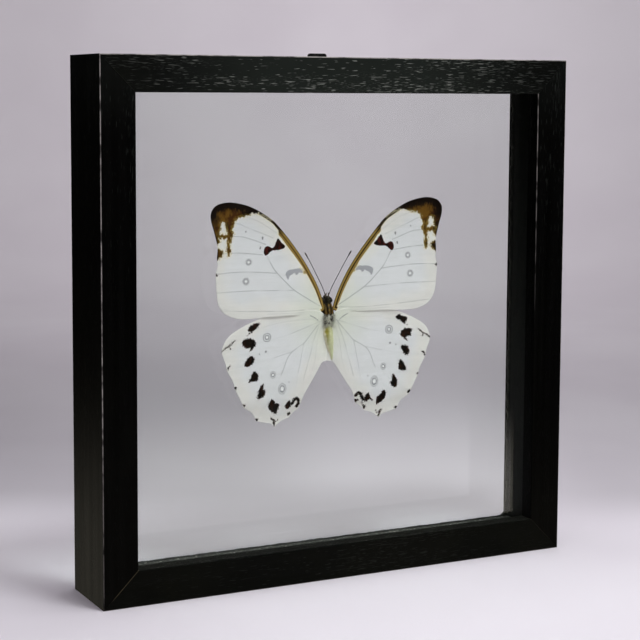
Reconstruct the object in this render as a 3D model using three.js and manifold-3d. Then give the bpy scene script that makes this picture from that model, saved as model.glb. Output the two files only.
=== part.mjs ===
// A white butterfly, wings spread, mounted between two panes in a deep black wooden frame.
// Millimetres, +Z up. The front of the frame faces -Y and it stands on its bottom rail at Z = 0.

import * as THREE from "three";
import Module from "manifold-3d";
import { mergeVertices } from "three/addons/utils/BufferGeometryUtils.js";

// Frame
const frameWidth = 250;
const frameHeight = 252;
const frameDepth = 40;
const railFace = 17;
const railRabbet = 8.5; // width of the rail behind its lip
const lipDepth = 8.5;
const edgeChamfer = 0.6;
const mitreGap = 0.1;
const seatGap = 0.1;

// Panes, spacers and sealant
const paneThickness = 2;
const paneInset = 9;
const rearPaneDepth = 30; // front face of the rear pane, from the front of the frame
const spacerOuter = 9;
const spacerInner = 11.5;
const sealantThickness = 2.6;
const sealantWidth = 3.2;
const sealantWave = 0.45;
const sealantSteps = 36;

// Hanging plate, let into the back of the top rail
const plateWidth = 10;
const plateRise = 2.5;
const plateDrop = 16.4;
const plateThickness = 1.2;
const plateCorner = 1.2;
const plateX = 3;
const hangingHole = { radius: 2.1, below: 12 };
const plateScrews = { spread: 2.7, below: 4.2 };
const screwHead = { radius: 1.75, height: 0.95 };
const screwShank = { radius: 0.75, length: 7.5 };
const screwPlay = 0.15;

// Specimen: x from its own middle, z from the bottom of the frame, and depth behind the wings' plane
const specimenX = 1.5;
const wingPlaneDepth = 23;
const wingThickness = 0.35;
const foreWing = {
  outline: [
    [2.6, 131.2], [5.9, 140], [11.5, 150], [18.7, 160], [27.2, 170], [32.6, 175], [41.2, 180], [48, 182.3],
    [54.8, 183.2], [60.6, 182], [63.4, 179], [63.7, 175], [62, 169], [60.3, 162], [60.6, 157], [60.3, 153],
    [61.2, 149], [60.9, 142], [60, 135], [57, 130.4], [52.6, 128], [46, 126.8], [30, 127.2], [12, 127.5],
    [3.2, 128.4],
  ],
  depth: { base: 0.3, perX: -0.021, perZ: 0 },
};
const hindWing = {
  outline: [
    [3.6, 127.4], [12, 129.6], [26, 129.4], [36, 127.2], [44.2, 124.3], [51, 121.2], [55.2, 118.2], [57.3, 115.2],
    [58, 111.8], [56.2, 107.4], [55.2, 102.6], [53, 98.2], [51.4, 94.2], [49, 89.6], [47.2, 85], [43.6, 82],
    [41.2, 80.2], [39.6, 76.6], [35.2, 75.2], [31.2, 73.7], [29, 72.8], [26.6, 74.8], [21.8, 76.9], [19, 79.3],
    [16, 80.9], [14.9, 83.6], [13.6, 87.4], [9.8, 92.6], [5.6, 98.8], [2.9, 104.4], [2.4, 112], [2.9, 121],
  ],
  depth: { base: 4.5, perX: -0.0173, perZ: -0.0285 },
};
const wingPoints = 4; // curve steps between two outline points

const body = {
  // [z, radius, depth of its axis]
  profile: [
    [102.8, 0, 3.4], [103.6, 0.75, 3.4], [105.6, 1.2, 3.4], [108.4, 1.5, 3.4], [111.6, 1.7, 3.3], [115, 1.7, 3.2],
    [118.2, 1.6, 3], [120.6, 1.5, 2.8], [121.6, 2.1, 2.6], [123.6, 2.9, 2.4], [126.6, 3.2, 2.3], [129, 2.9, 2.4],
    [130.8, 2, 2.7], [131.6, 1.7, 2.8], [132.6, 2.2, 2.9], [134, 2.4, 2.9], [135.4, 1.9, 2.9], [136.4, 0.9, 2.8],
    [136.7, 0, 2.8],
  ],
  sides: 16,
  eye: { x: 1.6, z: 133.7, depth: 2.9, radius: 1.25 },
};
const antenna = {
  path: [[1, 136.9, 2.3], [2.9, 140.4, 2.1], [5.9, 145.8, 1.8], [9.2, 151.6, 1.5], [12.9, 157.6, 1.2]],
  radius: 0.22,
  clubRadius: 0.42,
  clubStart: 0.86,
  steps: 14,
  sides: 8,
};
const glueDrop = { radius: 2.3, neck: 1.5, gap: 0.3, z: 126.6, behindWings: 5.5 };

const wood = { color: 0x141413, roughness: 0.5, metalness: 0 };
const clearGlass = { color: 0xe8efec, roughness: 0.03, metalness: 0, transparent: true, opacity: 0.15 };
const blackBoard = { color: 0x1b1c1a, roughness: 0.8, metalness: 0 };
const blackSealant = { color: 0x121312, roughness: 0.6, metalness: 0 };
const blackIron = { color: 0x1c1c1e, roughness: 0.45, metalness: 0.9 };
const brightSteel = { color: 0xb8b8b8, roughness: 0.35, metalness: 1 };
const whiteWing = { color: 0xdfe2dd, roughness: 0.55, metalness: 0, side: THREE.DoubleSide };
const furBrown = { color: 0x4a3b28, roughness: 0.9, metalness: 0 };
const darkHorn = { color: 0x221c1c, roughness: 0.6, metalness: 0 };
const driedGlue = { color: 0xd8d8cc, roughness: 0.3, metalness: 0 };

const wasm = await Module();
wasm.setup();

function toManifold(geometry) {
  const bare = geometry.index ? geometry.toNonIndexed() : geometry.clone();
  bare.deleteAttribute("normal");
  bare.deleteAttribute("uv");
  const merged = mergeVertices(bare, 1e-4);
  return new wasm.Manifold(new wasm.Mesh({
    numProp: 3,
    vertProperties: new Float32Array(merged.attributes.position.array),
    triVerts: new Uint32Array(merged.index.array),
  }));
}

function fromManifold(solid) {
  const mesh = solid.getMesh();
  const geometry = new THREE.BufferGeometry();
  geometry.setAttribute("position", new THREE.BufferAttribute(mesh.vertProperties, 3));
  geometry.setIndex(new THREE.BufferAttribute(mesh.triVerts, 1));
  geometry.computeVertexNormals();
  return geometry;
}

// Moves every vertex by a rule that changes the point it is given.
function reshape(geometry, rule) {
  const position = geometry.attributes.position;
  const point = new THREE.Vector3();
  for (let i = 0; i < position.count; i += 1) {
    point.fromBufferAttribute(position, i);
    rule(point);
    position.setXYZ(i, point.x, point.y, point.z);
  }
  geometry.computeVertexNormals();
  return geometry;
}

function polygon(points) {
  return new THREE.Shape(points.map(([x, y]) => new THREE.Vector2(x, y)));
}

// Everything below is placed by its depth behind the front of the frame.
const specimen = new THREE.Group();
specimen.name = "framed_butterfly";
specimen.position.y = -frameDepth / 2;

function addPiece(name, geometry, finish) {
  const piece = new THREE.Mesh(geometry, new THREE.MeshStandardMaterial(finish));
  piece.name = name;
  specimen.add(piece);
  return piece;
}

// The four sides. "inward" points from the outer edge to the opening, and a strip's length runs along
// inward x depth from its "start" corner.
const sides = {
  top: { inward: [0, 0, -1], start: [-frameWidth / 2, 0, frameHeight], length: frameWidth },
  bottom: { inward: [0, 0, 1], start: [frameWidth / 2, 0, 0], length: frameWidth },
  left: { inward: [1, 0, 0], start: [-frameWidth / 2, 0, 0], length: frameHeight },
  right: { inward: [-1, 0, 0], start: [frameWidth / 2, 0, frameHeight], length: frameHeight },
};

// A strip with the given section of [distance inward, depth], cut at 45 degrees at both ends.
function mitredStrip(side, section, steps = 1, wave = () => 0) {
  const strip = new THREE.ExtrudeGeometry(polygon(section), { depth: 1, steps, bevelEnabled: false });
  reshape(strip, (point) => {
    const cut = point.x + mitreGap;
    const along = cut + point.z * (side.length - 2 * cut);
    point.x += wave(point, along);
    point.z = along;
  });
  const inward = new THREE.Vector3(...side.inward);
  const back = new THREE.Vector3(0, 1, 0);
  const place = new THREE.Matrix4().makeBasis(inward, back, inward.clone().cross(back));
  place.setPosition(...side.start);
  return strip.applyMatrix4(place);
}

const railSection = [
  [edgeChamfer, 0],
  [railFace - edgeChamfer, 0],
  [railFace, edgeChamfer],
  [railFace, lipDepth],
  [railRabbet, lipDepth],
  [railRabbet, frameDepth],
  [edgeChamfer, frameDepth],
  [0, frameDepth - edgeChamfer],
  [0, edgeChamfer],
];

// A lathe turned about Y already points along the depth.
function revolve(profile, segments) {
  return new THREE.LatheGeometry(profile.map(([r, h]) => new THREE.Vector2(r, h)), segments);
}

// A countersunk screw whose head is flush with the back; play makes the space it sits in.
function screwSolid(play) {
  const tip = frameDepth - screwHead.height - screwShank.length - play;
  const shank = screwShank.radius + play;
  return revolve([
    [0, tip],
    [shank, tip + 1],
    [shank, frameDepth - screwHead.height],
    [screwHead.radius + play, frameDepth - seatGap],
    [screwHead.radius + play, frameDepth + play - seatGap],
    [0, frameDepth + play - seatGap],
  ], 20);
}

function screwPlaces() {
  return [-1, 1].map((way) => ({
    name: way < 0 ? "plate_screw_left" : "plate_screw_right",
    x: plateX + way * plateScrews.spread,
    z: frameHeight - plateScrews.below,
  }));
}

function platePocket() {
  const width = plateWidth + 2 * screwPlay;
  const depth = plateThickness + screwPlay;
  const height = plateRise + plateDrop;
  const pocket = new THREE.BoxGeometry(width, 2 * depth, height);
  return pocket.translate(plateX, frameDepth, frameHeight + plateRise - height / 2);
}

function addRails() {
  for (const [name, side] of Object.entries(sides)) {
    let rail = mitredStrip(side, railSection);
    if (name === "top") {
      let cut = toManifold(rail).subtract(toManifold(platePocket()));
      for (const place of screwPlaces()) {
        cut = cut.subtract(toManifold(screwSolid(screwPlay).translate(place.x, 0, place.z)));
      }
      rail = fromManifold(cut);
    }
    addPiece(`rail_${name}`, rail, wood);
  }
}

function addPanes() {
  const width = frameWidth - 2 * paneInset;
  const height = frameHeight - 2 * paneInset;
  const depths = { front_glass: lipDepth + seatGap, rear_glass: rearPaneDepth };
  for (const [name, depth] of Object.entries(depths)) {
    const pane = new THREE.BoxGeometry(width, paneThickness, height);
    pane.translate(0, depth + paneThickness / 2, frameHeight / 2);
    addPiece(name, pane, clearGlass);
  }
}

function addSpacers() {
  const from = lipDepth + paneThickness + 2 * seatGap;
  const to = rearPaneDepth - seatGap;
  const section = [[spacerOuter, from], [spacerInner, from], [spacerInner, to], [spacerOuter, to]];
  for (const [name, side] of Object.entries(sides)) {
    addPiece(`spacer_${name}`, mitredStrip(side, section), blackBoard);
  }
}

// A bead run by hand into the corner behind the rear pane, so its inner edge wanders.
function addSealant() {
  const from = rearPaneDepth + paneThickness + seatGap;
  const outer = railRabbet + seatGap;
  const section = [
    [outer, from],
    [outer + sealantWidth, from],
    [outer + sealantWidth * 0.75, from + sealantThickness * 0.5],
    [outer, from + sealantThickness],
  ];
  const wander = (point, s) => {
    const reach = (point.x - outer) / sealantWidth;
    return reach * sealantWave * (Math.sin(s * 0.31) + 0.6 * Math.sin(s * 0.83 + 1));
  };
  for (const [name, side] of Object.entries(sides)) {
    addPiece(`sealant_${name}`, mitredStrip(side, section, sealantSteps, wander), blackSealant);
  }
}

function addHangingPlate() {
  const bottom = frameHeight - plateDrop + 0.5;
  const top = frameHeight + plateRise;
  const half = plateWidth / 2;
  const outline = new THREE.Shape();
  outline.moveTo(-half, bottom + half);
  outline.absarc(0, bottom + half, half, Math.PI, 2 * Math.PI, false);
  outline.lineTo(half, top - plateCorner);
  outline.absarc(half - plateCorner, top - plateCorner, plateCorner, 0, Math.PI / 2, false);
  outline.lineTo(plateCorner - half, top);
  outline.absarc(plateCorner - half, top - plateCorner, plateCorner, Math.PI / 2, Math.PI, false);
  const hole = new THREE.Path();
  hole.absarc(0, frameHeight - hangingHole.below, hangingHole.radius, 0, 2 * Math.PI, true);
  outline.holes.push(hole);
  const sheet = new THREE.ExtrudeGeometry(outline, { depth: plateThickness, bevelEnabled: false, curveSegments: 8 });
  // Stood up with its outer face flush with the frame's back.
  sheet.rotateX(Math.PI / 2);
  sheet.translate(plateX, frameDepth, 0);
  let plate = toManifold(sheet);
  for (const place of screwPlaces()) {
    plate = plate.subtract(toManifold(screwSolid(screwPlay).translate(place.x, 0, place.z)));
  }
  addPiece("hanging_plate", fromManifold(plate), blackIron);
  for (const place of screwPlaces()) {
    addPiece(place.name, screwSolid(0).translate(place.x, 0, place.z), brightSteel);
  }
}

// A flat wing, cut to its outline and leaning back or forward from the wings' plane.
function wingGeometry(wing, way) {
  const corners = wing.outline.map(([x, z]) => new THREE.Vector3(x, z, 0));
  const edge = new THREE.CatmullRomCurve3(corners, true, "centripetal");
  const points = edge.getPoints(corners.length * wingPoints).slice(0, -1);
  const sheet = new THREE.ExtrudeGeometry(
    polygon(points.map(({ x, y }) => [way * x, y])),
    { depth: wingThickness, bevelEnabled: false },
  );
  return reshape(sheet, (point) => {
    const { base, perX, perZ } = wing.depth;
    const height = point.y;
    const lean = base + perX * way * point.x + perZ * height;
    point.set(specimenX + point.x, wingPlaneDepth + lean + wingThickness / 2 - point.z, height);
  });
}

function addWings() {
  for (const [name, way] of [["left", -1], ["right", 1]]) {
    addPiece(`forewing_${name}`, wingGeometry(foreWing, way), whiteWing);
    addPiece(`hindwing_${name}`, wingGeometry(hindWing, way), whiteWing);
  }
}

function axisDepth(z) {
  const next = Math.max(1, body.profile.findIndex(([height]) => height >= z));
  const [z0, , d0] = body.profile[next - 1];
  const [z1, , d1] = body.profile[next];
  return d0 + ((d1 - d0) * (z - z0)) / (z1 - z0);
}

// Head, thorax and abdomen grew as one piece.
function addBody() {
  const turned = revolve(body.profile.map(([z, radius]) => [radius, z]), body.sides);
  reshape(turned, (point) => {
    const height = point.y;
    point.set(specimenX + point.x, wingPlaneDepth + axisDepth(height) - point.z, height);
  });
  let solid = toManifold(turned);
  for (const way of [-1, 1]) {
    const eye = new THREE.SphereGeometry(body.eye.radius, 12, 8);
    eye.translate(specimenX + way * body.eye.x, wingPlaneDepth + body.eye.depth, body.eye.z);
    solid = solid.add(toManifold(eye));
  }
  addPiece("butterfly_body", fromManifold(solid), furBrown);
}

function addAntennae() {
  for (const [name, way] of [["left", -1], ["right", 1]]) {
    const path = new THREE.CatmullRomCurve3(antenna.path.map(([x, z, depth]) => (
      new THREE.Vector3(specimenX + way * x, wingPlaneDepth + depth, z)
    )));
    const section = new THREE.Shape().absarc(0, 0, antenna.radius, 0, 2 * Math.PI, false);
    const stem = new THREE.ExtrudeGeometry(section, {
      extrudePath: path, steps: antenna.steps, curveSegments: antenna.sides / 2,
    });
    const tip = path.getPoint(1);
    const length = path.getLength();
    reshape(stem, (point) => {
      // Thickens into the club towards its tip.
      const done = 1 - Math.min(1, point.distanceTo(tip) / length);
      const swell = Math.max(0, (done - antenna.clubStart) / (1 - antenna.clubStart));
      const middle = path.getPoint(done);
      const fatter = 1 + (antenna.clubRadius / antenna.radius - 1) * Math.sin(swell * Math.PI * 0.75);
      point.sub(middle).multiplyScalar(fatter).add(middle);
    });
    addPiece(`antenna_${name}`, stem, darkHorn);
  }
}

// The thorax is stuck to the rear pane.
function addGlueDrop() {
  const from = wingPlaneDepth + glueDrop.behindWings + glueDrop.gap;
  const to = rearPaneDepth - seatGap;
  const drop = revolve([
    [0, from],
    [glueDrop.neck, from],
    [(glueDrop.neck + glueDrop.radius) / 2 - 0.2, (from + to) / 2],
    [glueDrop.radius, to],
    [0, to],
  ], 20);
  addPiece("glue_drop", drop.translate(specimenX, 0, glueDrop.z), driedGlue);
}

addRails();
addPanes();
addSpacers();
addSealant();
addHangingPlate();
addWings();
addBody();
addAntennae();
addGlueDrop();

export default specimen;
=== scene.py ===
# A white butterfly, wings spread, floating between two panes in a deep black wooden frame.
import math
import random

import bmesh
import bpy
import numpy as np
from mathutils import Matrix, Vector, noise


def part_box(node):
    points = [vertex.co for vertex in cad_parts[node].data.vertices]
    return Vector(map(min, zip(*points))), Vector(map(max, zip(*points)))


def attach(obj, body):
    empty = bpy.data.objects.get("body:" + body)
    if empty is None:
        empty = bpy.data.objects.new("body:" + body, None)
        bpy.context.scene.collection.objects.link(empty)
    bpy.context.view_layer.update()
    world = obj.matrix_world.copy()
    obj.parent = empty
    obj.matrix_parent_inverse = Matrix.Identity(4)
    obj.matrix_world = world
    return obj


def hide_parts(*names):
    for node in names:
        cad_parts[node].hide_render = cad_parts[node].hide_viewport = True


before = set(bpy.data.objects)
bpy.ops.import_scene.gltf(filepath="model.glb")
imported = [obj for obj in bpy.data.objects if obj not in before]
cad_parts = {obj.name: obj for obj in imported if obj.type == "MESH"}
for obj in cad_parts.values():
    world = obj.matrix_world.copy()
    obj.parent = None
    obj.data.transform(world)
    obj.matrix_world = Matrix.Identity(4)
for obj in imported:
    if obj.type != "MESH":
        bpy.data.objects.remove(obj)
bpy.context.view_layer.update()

mm = 0.001

# What the solids already fix, in metres
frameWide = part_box("rail_right")[1].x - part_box("rail_left")[0].x
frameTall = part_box("rail_top")[1].z
frontY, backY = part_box("rail_left")[0].y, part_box("rail_left")[1].y
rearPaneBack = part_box("rear_glass")[1].y
specimenX = (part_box("forewing_left")[0].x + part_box("forewing_right")[1].x) / 2
wingPlaneY = 0.003  # most of the butterfly is measured from this plane


# Small helpers for meshes

def newObject(name, bm, materials=(), smooth=True):
    mesh = bpy.data.meshes.new(name)
    bm.to_mesh(mesh)
    bm.free()
    for material in materials:
        mesh.materials.append(material)
    mesh.polygons.foreach_set("use_smooth", [smooth] * len(mesh.polygons))
    item = bpy.data.objects.new(name, mesh)
    bpy.context.collection.objects.link(item)
    return item


def finishPiece(name, bm, materials, replaces, smooth=True):
    piece = newObject(name, bm, materials, smooth)
    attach(piece, "root")
    if replaces:
        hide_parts(*replaces)
    return piece


def cutAway(piece, bm, crossed=False):
    # Takes the shape in bm out of a piece
    cutter = newObject("cutter", bm, smooth=False)
    step = piece.modifiers.new("cut", "BOOLEAN")
    step.operation = "DIFFERENCE"
    step.object = cutter
    step.solver = "EXACT"
    step.use_self = crossed
    bpy.context.view_layer.update()
    shaped = bpy.data.meshes.new_from_object(piece.evaluated_get(bpy.context.evaluated_depsgraph_get()))
    piece.modifiers.clear()
    piece.data = shaped
    bpy.data.objects.remove(cutter)


def spinProfile(bm, profile, steps, merge=1e-4):
    # A turned shape from radii and heights
    chain = [bm.verts.new((radius, 0, height)) for radius, height in profile]
    edges = [bm.edges.new(pair) for pair in zip(chain, chain[1:])]
    around = {"cent": (0, 0, 0), "axis": (0, 0, 1), "angle": 2 * math.pi}
    bmesh.ops.spin(bm, geom=chain + edges, steps=steps, use_merge=True, **around)
    if merge:
        bmesh.ops.remove_doubles(bm, verts=bm.verts[:], dist=merge)
    bmesh.ops.recalc_face_normals(bm, faces=bm.faces[:])


def smoothStep(low, high, value):
    t = np.clip((value - low) / (high - low), 0.0, 1.0)
    return t * t * (3 - 2 * t)


def smoothCurve(points, steps, closed):
    # A Catmull-Rom curve through the given points
    count = len(points)
    spans = count if closed else count - 1
    curve = []
    for i in range(spans):
        near = [(i + k) % count if closed else min(max(i + k, 0), count - 1) for k in (-1, 0, 1, 2)]
        p0, p1, p2, p3 = [np.array(points[k], float) for k in near]
        for t in np.arange(steps) / steps:
            bend = 2 * p1 + (p2 - p0) * t + (2 * p0 - 5 * p1 + 4 * p2 - p3) * t**2
            curve.append((bend + (3 * p1 - p0 - 3 * p2 + p3) * t**3) / 2)
    if not closed:
        curve.append(np.array(points[-1], float))
    return np.array(curve)


def distanceTo(line, places, closed=False):
    # Distance of every place to a line of points
    starts = line if closed else line[:-1]
    ends = np.roll(line, -1, axis=0) if closed else line[1:]
    nearest = np.full(len(places), 1e9)
    for start, end in zip(starts, ends):
        run = end - start
        along = np.clip(((places - start) @ run) / max(run @ run, 1e-9), 0, 1)
        nearest = np.minimum(nearest, np.linalg.norm(places - start - along[:, None] * run, axis=1))
    return nearest


def insideDepth(outline, places):
    # Distance to a closed outline, positive inside it and negative outside
    inside = np.zeros(len(places), bool)
    for (x0, z0), (x1, z1) in zip(outline, np.roll(outline, -1, axis=0)):
        spans = (z0 > places[:, 1]) != (z1 > places[:, 1])
        crossing = x0 + (places[:, 1] - z0) * (x1 - x0) / (z1 - z0 if z1 != z0 else 1e-9)
        inside ^= spans & (places[:, 0] < crossing)
    return distanceTo(outline, places, closed=True) * np.where(inside, 1, -1)


def tube(bm, path, radii, sides=8, material=0):
    # A closed round rod: a flat grid rolled up around the path, sewn along its seam and capped
    path = [Vector(p) for p in path]
    rings = len(path) - 1
    sideways = Vector((1, 0, 0))
    frames = []
    for i, point in enumerate(path):
        ahead = (path[min(i + 1, rings)] - path[max(i - 1, 0)]).normalized()
        if abs(ahead.dot(sideways)) > 0.95:
            sideways = Vector((0, 1, 0))
        sideways = (sideways - ahead * ahead.dot(sideways)).normalized()
        frames.append((point, sideways, ahead.cross(sideways), radii[i]))
    rod = bmesh.new()
    bmesh.ops.create_grid(rod, x_segments=sides, y_segments=rings, size=0.5)
    for v in rod.verts:
        angle = (v.co.x + 0.5) * 2 * math.pi
        point, across, up, radius = frames[round((v.co.y + 0.5) * rings)]
        v.co = point + (across * math.cos(angle) + up * math.sin(angle)) * radius
    bmesh.ops.remove_doubles(rod, verts=rod.verts[:], dist=min(radii) * 0.02)
    bmesh.ops.holes_fill(rod, edges=[e for e in rod.edges if e.is_boundary])
    bmesh.ops.recalc_face_normals(rod, faces=rod.faces[:])
    for face in rod.faces:
        face.material_index = material
    addTo(bm, rod)


def addTo(bm, extra):
    mesh = bpy.data.meshes.new("extra")
    extra.to_mesh(mesh)
    extra.free()
    bm.from_mesh(mesh)
    bpy.data.meshes.remove(mesh)


# Small helpers for materials

def tint(red, green, blue):
    # An 8-bit screen colour as the shader wants it
    channels = [c / 255 for c in (red, green, blue)]
    return [c / 12.92 if c <= 0.04045 else ((c + 0.055) / 1.055) ** 2.4 for c in channels] + [1.0]


class Wire:
    # A value on its way through the node tree, so that sums can be written as sums
    def __init__(self, socket):
        self.socket = socket

    def __add__(self, other):
        return calc("ADD", self, other)

    def __sub__(self, other):
        return calc("SUBTRACT", self, other)

    def __rsub__(self, other):
        return calc("SUBTRACT", other, self)

    def __mul__(self, other):
        return calc("MULTIPLY", self, other)

    def __truediv__(self, other):
        return calc("DIVIDE", self, other)

    def __abs__(self):
        return calc("ABSOLUTE", self)


def wiresOf(outputs):
    # Outputs by their number and by their name
    return {**{i: Wire(o) for i, o in enumerate(outputs)}, **{o.name: Wire(o) for o in outputs}}


def outOf(kind, options=None, **sockets):
    return wiresOf(addNode(kind, options, **sockets).outputs)


def addNode(kind, options=None, **sockets):
    node = tree.nodes.new("ShaderNode" + kind)
    for key, value in (options or {}).items():
        setattr(node, key, value)
    for key, value in sockets.items():
        setSocket(node.inputs[int(key[1:]) if key[0] == "i" and key[1:].isdigit() else key], value)
    return node


def setSocket(socket, value):
    if isinstance(value, Wire):
        tree.links.new(value.socket, socket)
    else:
        socket.default_value = value


def calc(operation, first, second=0.0, clamp=False):
    return outOf("Math", {"operation": operation, "use_clamp": clamp}, i0=first, i1=second)[0]


def vectorCalc(operation, first, second=(0, 0, 0), output="Vector"):
    return outOf("VectorMath", {"operation": operation}, i0=first, i1=second)[output]


def parts(vector):
    return outOf("SeparateXYZ", Vector=vector)


def fade(value, low, high, start=0.0, end=1.0):
    node = addNode("MapRange", {"interpolation_type": "SMOOTHSTEP"}, Value=value)
    for socket, number in zip(("From Min", "From Max", "To Min", "To Max"), (low, high, start, end)):
        setSocket(node.inputs[socket], number)
    return Wire(node.outputs["Result"])


def blend(amount, first, second):
    node = addNode("Mix", {"data_type": "RGBA"})
    for index, value in ((0, amount), (6, first), (7, second)):
        setSocket(node.inputs[index], value)
    return Wire(node.outputs[2])


def stretch(vector, perMetre):
    return vectorCalc("MULTIPLY", vector, perMetre)


def cloud(vector, detail=2.0, rough=0.5, scale=1.0):
    return outOf("TexNoise", Vector=vector, Scale=scale, Detail=detail, Roughness=rough)[0]


def cellsAt(vector, scale):
    return outOf("TexVoronoi", {"feature": "F1"}, Vector=vector, Scale=scale)


def colourRamp(amount, stops):
    node = addNode("ValToRGB", Fac=amount)
    elements = node.color_ramp.elements
    elements[0].position, elements[0].color = stops[0]
    elements[1].position, elements[1].color = stops[-1]
    for position, colour in stops[1:-1]:
        elements.new(position).color = colour
    return Wire(node.outputs[0])


def attribute(name):
    return outOf("Attribute", {"attribute_name": name})["Fac"]


def relief(height, distance, strength=1.0):
    return outOf("Bump", Height=height, Distance=distance, Strength=strength)["Normal"]


def newMaterial(name, **settings):
    # The helpers above work on the tree that was made last
    global tree
    material = bpy.data.materials.new(name)
    material.use_nodes = True
    tree = material.node_tree
    shader = tree.nodes["Principled BSDF"]
    dress(shader, **settings)
    place = outOf("TexCoord")["Object"]
    return material, shader, place


shaderSockets = {
    "colour": "Base Color", "roughness": "Roughness", "normal": "Normal", "metallic": "Metallic",
    "ior": "IOR", "specular": "Specular IOR Level", "coat": "Coat Weight",
    "coatRoughness": "Coat Roughness", "transmission": "Transmission Weight",
    "subsurface": "Subsurface Weight", "subsurfaceScale": "Subsurface Scale", "glow": "Emission Strength",
    "glowColour": "Emission Color",
}


def dress(shader, **looks):
    for key, value in looks.items():
        setSocket(shader.inputs[shaderSockets[key]], value)


def newGroup(name, inputs, outputs):
    global tree
    group = tree = bpy.data.node_groups.new(name, "ShaderNodeTree")
    for label, kind, value in inputs:
        socket = group.interface.new_socket(label, in_out="INPUT", socket_type=kind)
        if value is not None:
            socket.default_value = value
    for label in outputs:
        group.interface.new_socket(label, in_out="OUTPUT", socket_type="NodeSocketFloat")
    given = wiresOf(group.nodes.new("NodeGroupInput").outputs)
    return group, given, group.nodes.new("NodeGroupOutput").inputs


def useGroup(group, **values):
    node = addNode("Group", {"node_tree": group})
    for key, value in values.items():
        setSocket(node.inputs[key], value)
    return wiresOf(node.outputs)


# Effects that several finishes share

def buildOpenGrain():
    # Pores run along X of the vector it is given
    group, given, out = newGroup(
        "open grain", [("Vector", "NodeSocketVector", None), ("Pores", "NodeSocketFloat", 0.6)],
        ["Pores", "Figure", "Height"],
    )
    pore = cloud(stretch(given["Vector"], (170, 2000, 2000)), 1.5, 0.5)
    hair = cloud(stretch(given["Vector"], (340, 3600, 3600)), 1.0, 0.5)
    patch = cloud(stretch(given["Vector"], (18, 120, 120)), 2.0, 0.5)
    figure = cloud(stretch(given["Vector"], (9, 300, 300)), 3.0, 0.6)
    crowd = fade(patch, 0.42, 0.66)
    edge = given["Pores"] - crowd * 0.07
    deep = fade(pore, edge, edge + 0.05)
    fine = fade(hair, 0.6, 0.68, 0.0, 0.45)
    pores = calc("MAXIMUM", deep, fine * crowd)
    height = figure * 0.06 - pores
    for name, value in (("Pores", pores), ("Figure", figure), ("Height", height)):
        setSocket(out[name], value)
    return group


def buildDust():
    # Pale specks and lint that settle on whatever faces up
    group, given, out = newGroup(
        "settled dust", [("Vector", "NodeSocketVector", None), ("Amount", "NodeSocketFloat", 0.5)],
        ["Dust"],
    )
    facing = parts(outOf("NewGeometry")["Normal"])["Z"]
    cells = cellsAt(given["Vector"], 420.0)
    specks = fade(cells["Distance"], 0.3, 0.12)
    thinned = calc("GREATER_THAN", outOf("SeparateColor", Color=cells["Color"])[0], 0.72)
    film = fade(cloud(given["Vector"], 4.0, 0.75, 700.0), 0.42, 0.7, 0.0, 0.5)
    settled = specks * thinned + film
    upward = fade(facing, 0.55, 0.95)
    dust = calc("MULTIPLY", settled * upward, given["Amount"], True)
    setSocket(out["Dust"], dust)
    return group


def buildMottle():
    group, given, out = newGroup(
        "fine mottle", [("Vector", "NodeSocketVector", None), ("Scale", "NodeSocketFloat", 300.0)],
        ["Broad", "Fine"],
    )
    broad = cloud(given["Vector"], 3.0, 0.6, given["Scale"])
    fine = cloud(given["Vector"], 2.0, 0.7, given["Scale"] * 7.3)
    setSocket(out["Broad"], broad)
    setSocket(out["Fine"], fine)
    return group


def buildEyespot():
    # An eyespot of the underside shows through as thin circles round a pale middle
    group, given, out = newGroup(
        "eyespot",
        [
            ("Vector", "NodeSocketVector", None), ("Centre", "NodeSocketVector", None),
            ("Radius", "NodeSocketFloat", 2.0), ("Tall", "NodeSocketFloat", 1.0),
            ("Inner", "NodeSocketFloat", 0.5), ("Thickness", "NodeSocketFloat", 0.2),
            ("Outer", "NodeSocketFloat", 0.7),
        ],
        ["Circles", "Middle"],
    )
    apart = parts(vectorCalc("SUBTRACT", given["Vector"], given["Centre"]))
    up = apart["Z"] / given["Tall"]
    squared = apart["X"] * apart["X"] + up * up
    reach = calc("SQRT", squared) / given["Radius"]
    uneven = cloud(given["Vector"], 2.0, 0.5, 1.1) - 0.5
    reach = reach + uneven * 0.3
    fromInner = abs(reach - given["Inner"])
    fromOuter = abs(reach - 0.93)
    inner = fade(fromInner, given["Thickness"], 0.0)
    outer = fade(fromOuter, 0.16, 0.0) * given["Outer"]
    setSocket(out["Circles"], calc("MAXIMUM", inner, outer))
    setSocket(out["Middle"], fade(reach, 0.36, 0.12))
    return group


openGrain = buildOpenGrain()
settledDust = buildDust()
fineMottle = buildMottle()
eyespot = buildEyespot()


# Camera and studio

cameraSet = {
    "place": (-0.380941, -0.724254, 0.234145),
    "yaw": 0.467,
    "pitch": -0.098,
    "roll": 0.004,
    "lens": 94.5007,
    "shift": (0.03125, -0.09375),
}


def placeCamera():
    yaw, pitch, roll = (cameraSet[key] for key in ("yaw", "pitch", "roll"))
    ahead = Vector((math.sin(yaw) * math.cos(pitch), math.cos(yaw) * math.cos(pitch), math.sin(pitch)))
    right = ahead.cross(Vector((0, 0, 1))).normalized()
    up = right.cross(ahead)
    turned = math.cos(roll) * right + math.sin(roll) * up
    up = math.cos(roll) * up - math.sin(roll) * right
    data = bpy.data.cameras.new("camera")
    data.lens = cameraSet["lens"]
    data.shift_x, data.shift_y = cameraSet["shift"]
    camera = bpy.data.objects.new("camera", data)
    bpy.context.collection.objects.link(camera)
    axes = Matrix((turned, up, -ahead)).transposed().to_4x4()
    camera.matrix_world = Matrix.Translation(cameraSet["place"]) @ axes
    bpy.context.scene.camera = camera


placeCamera()

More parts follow.
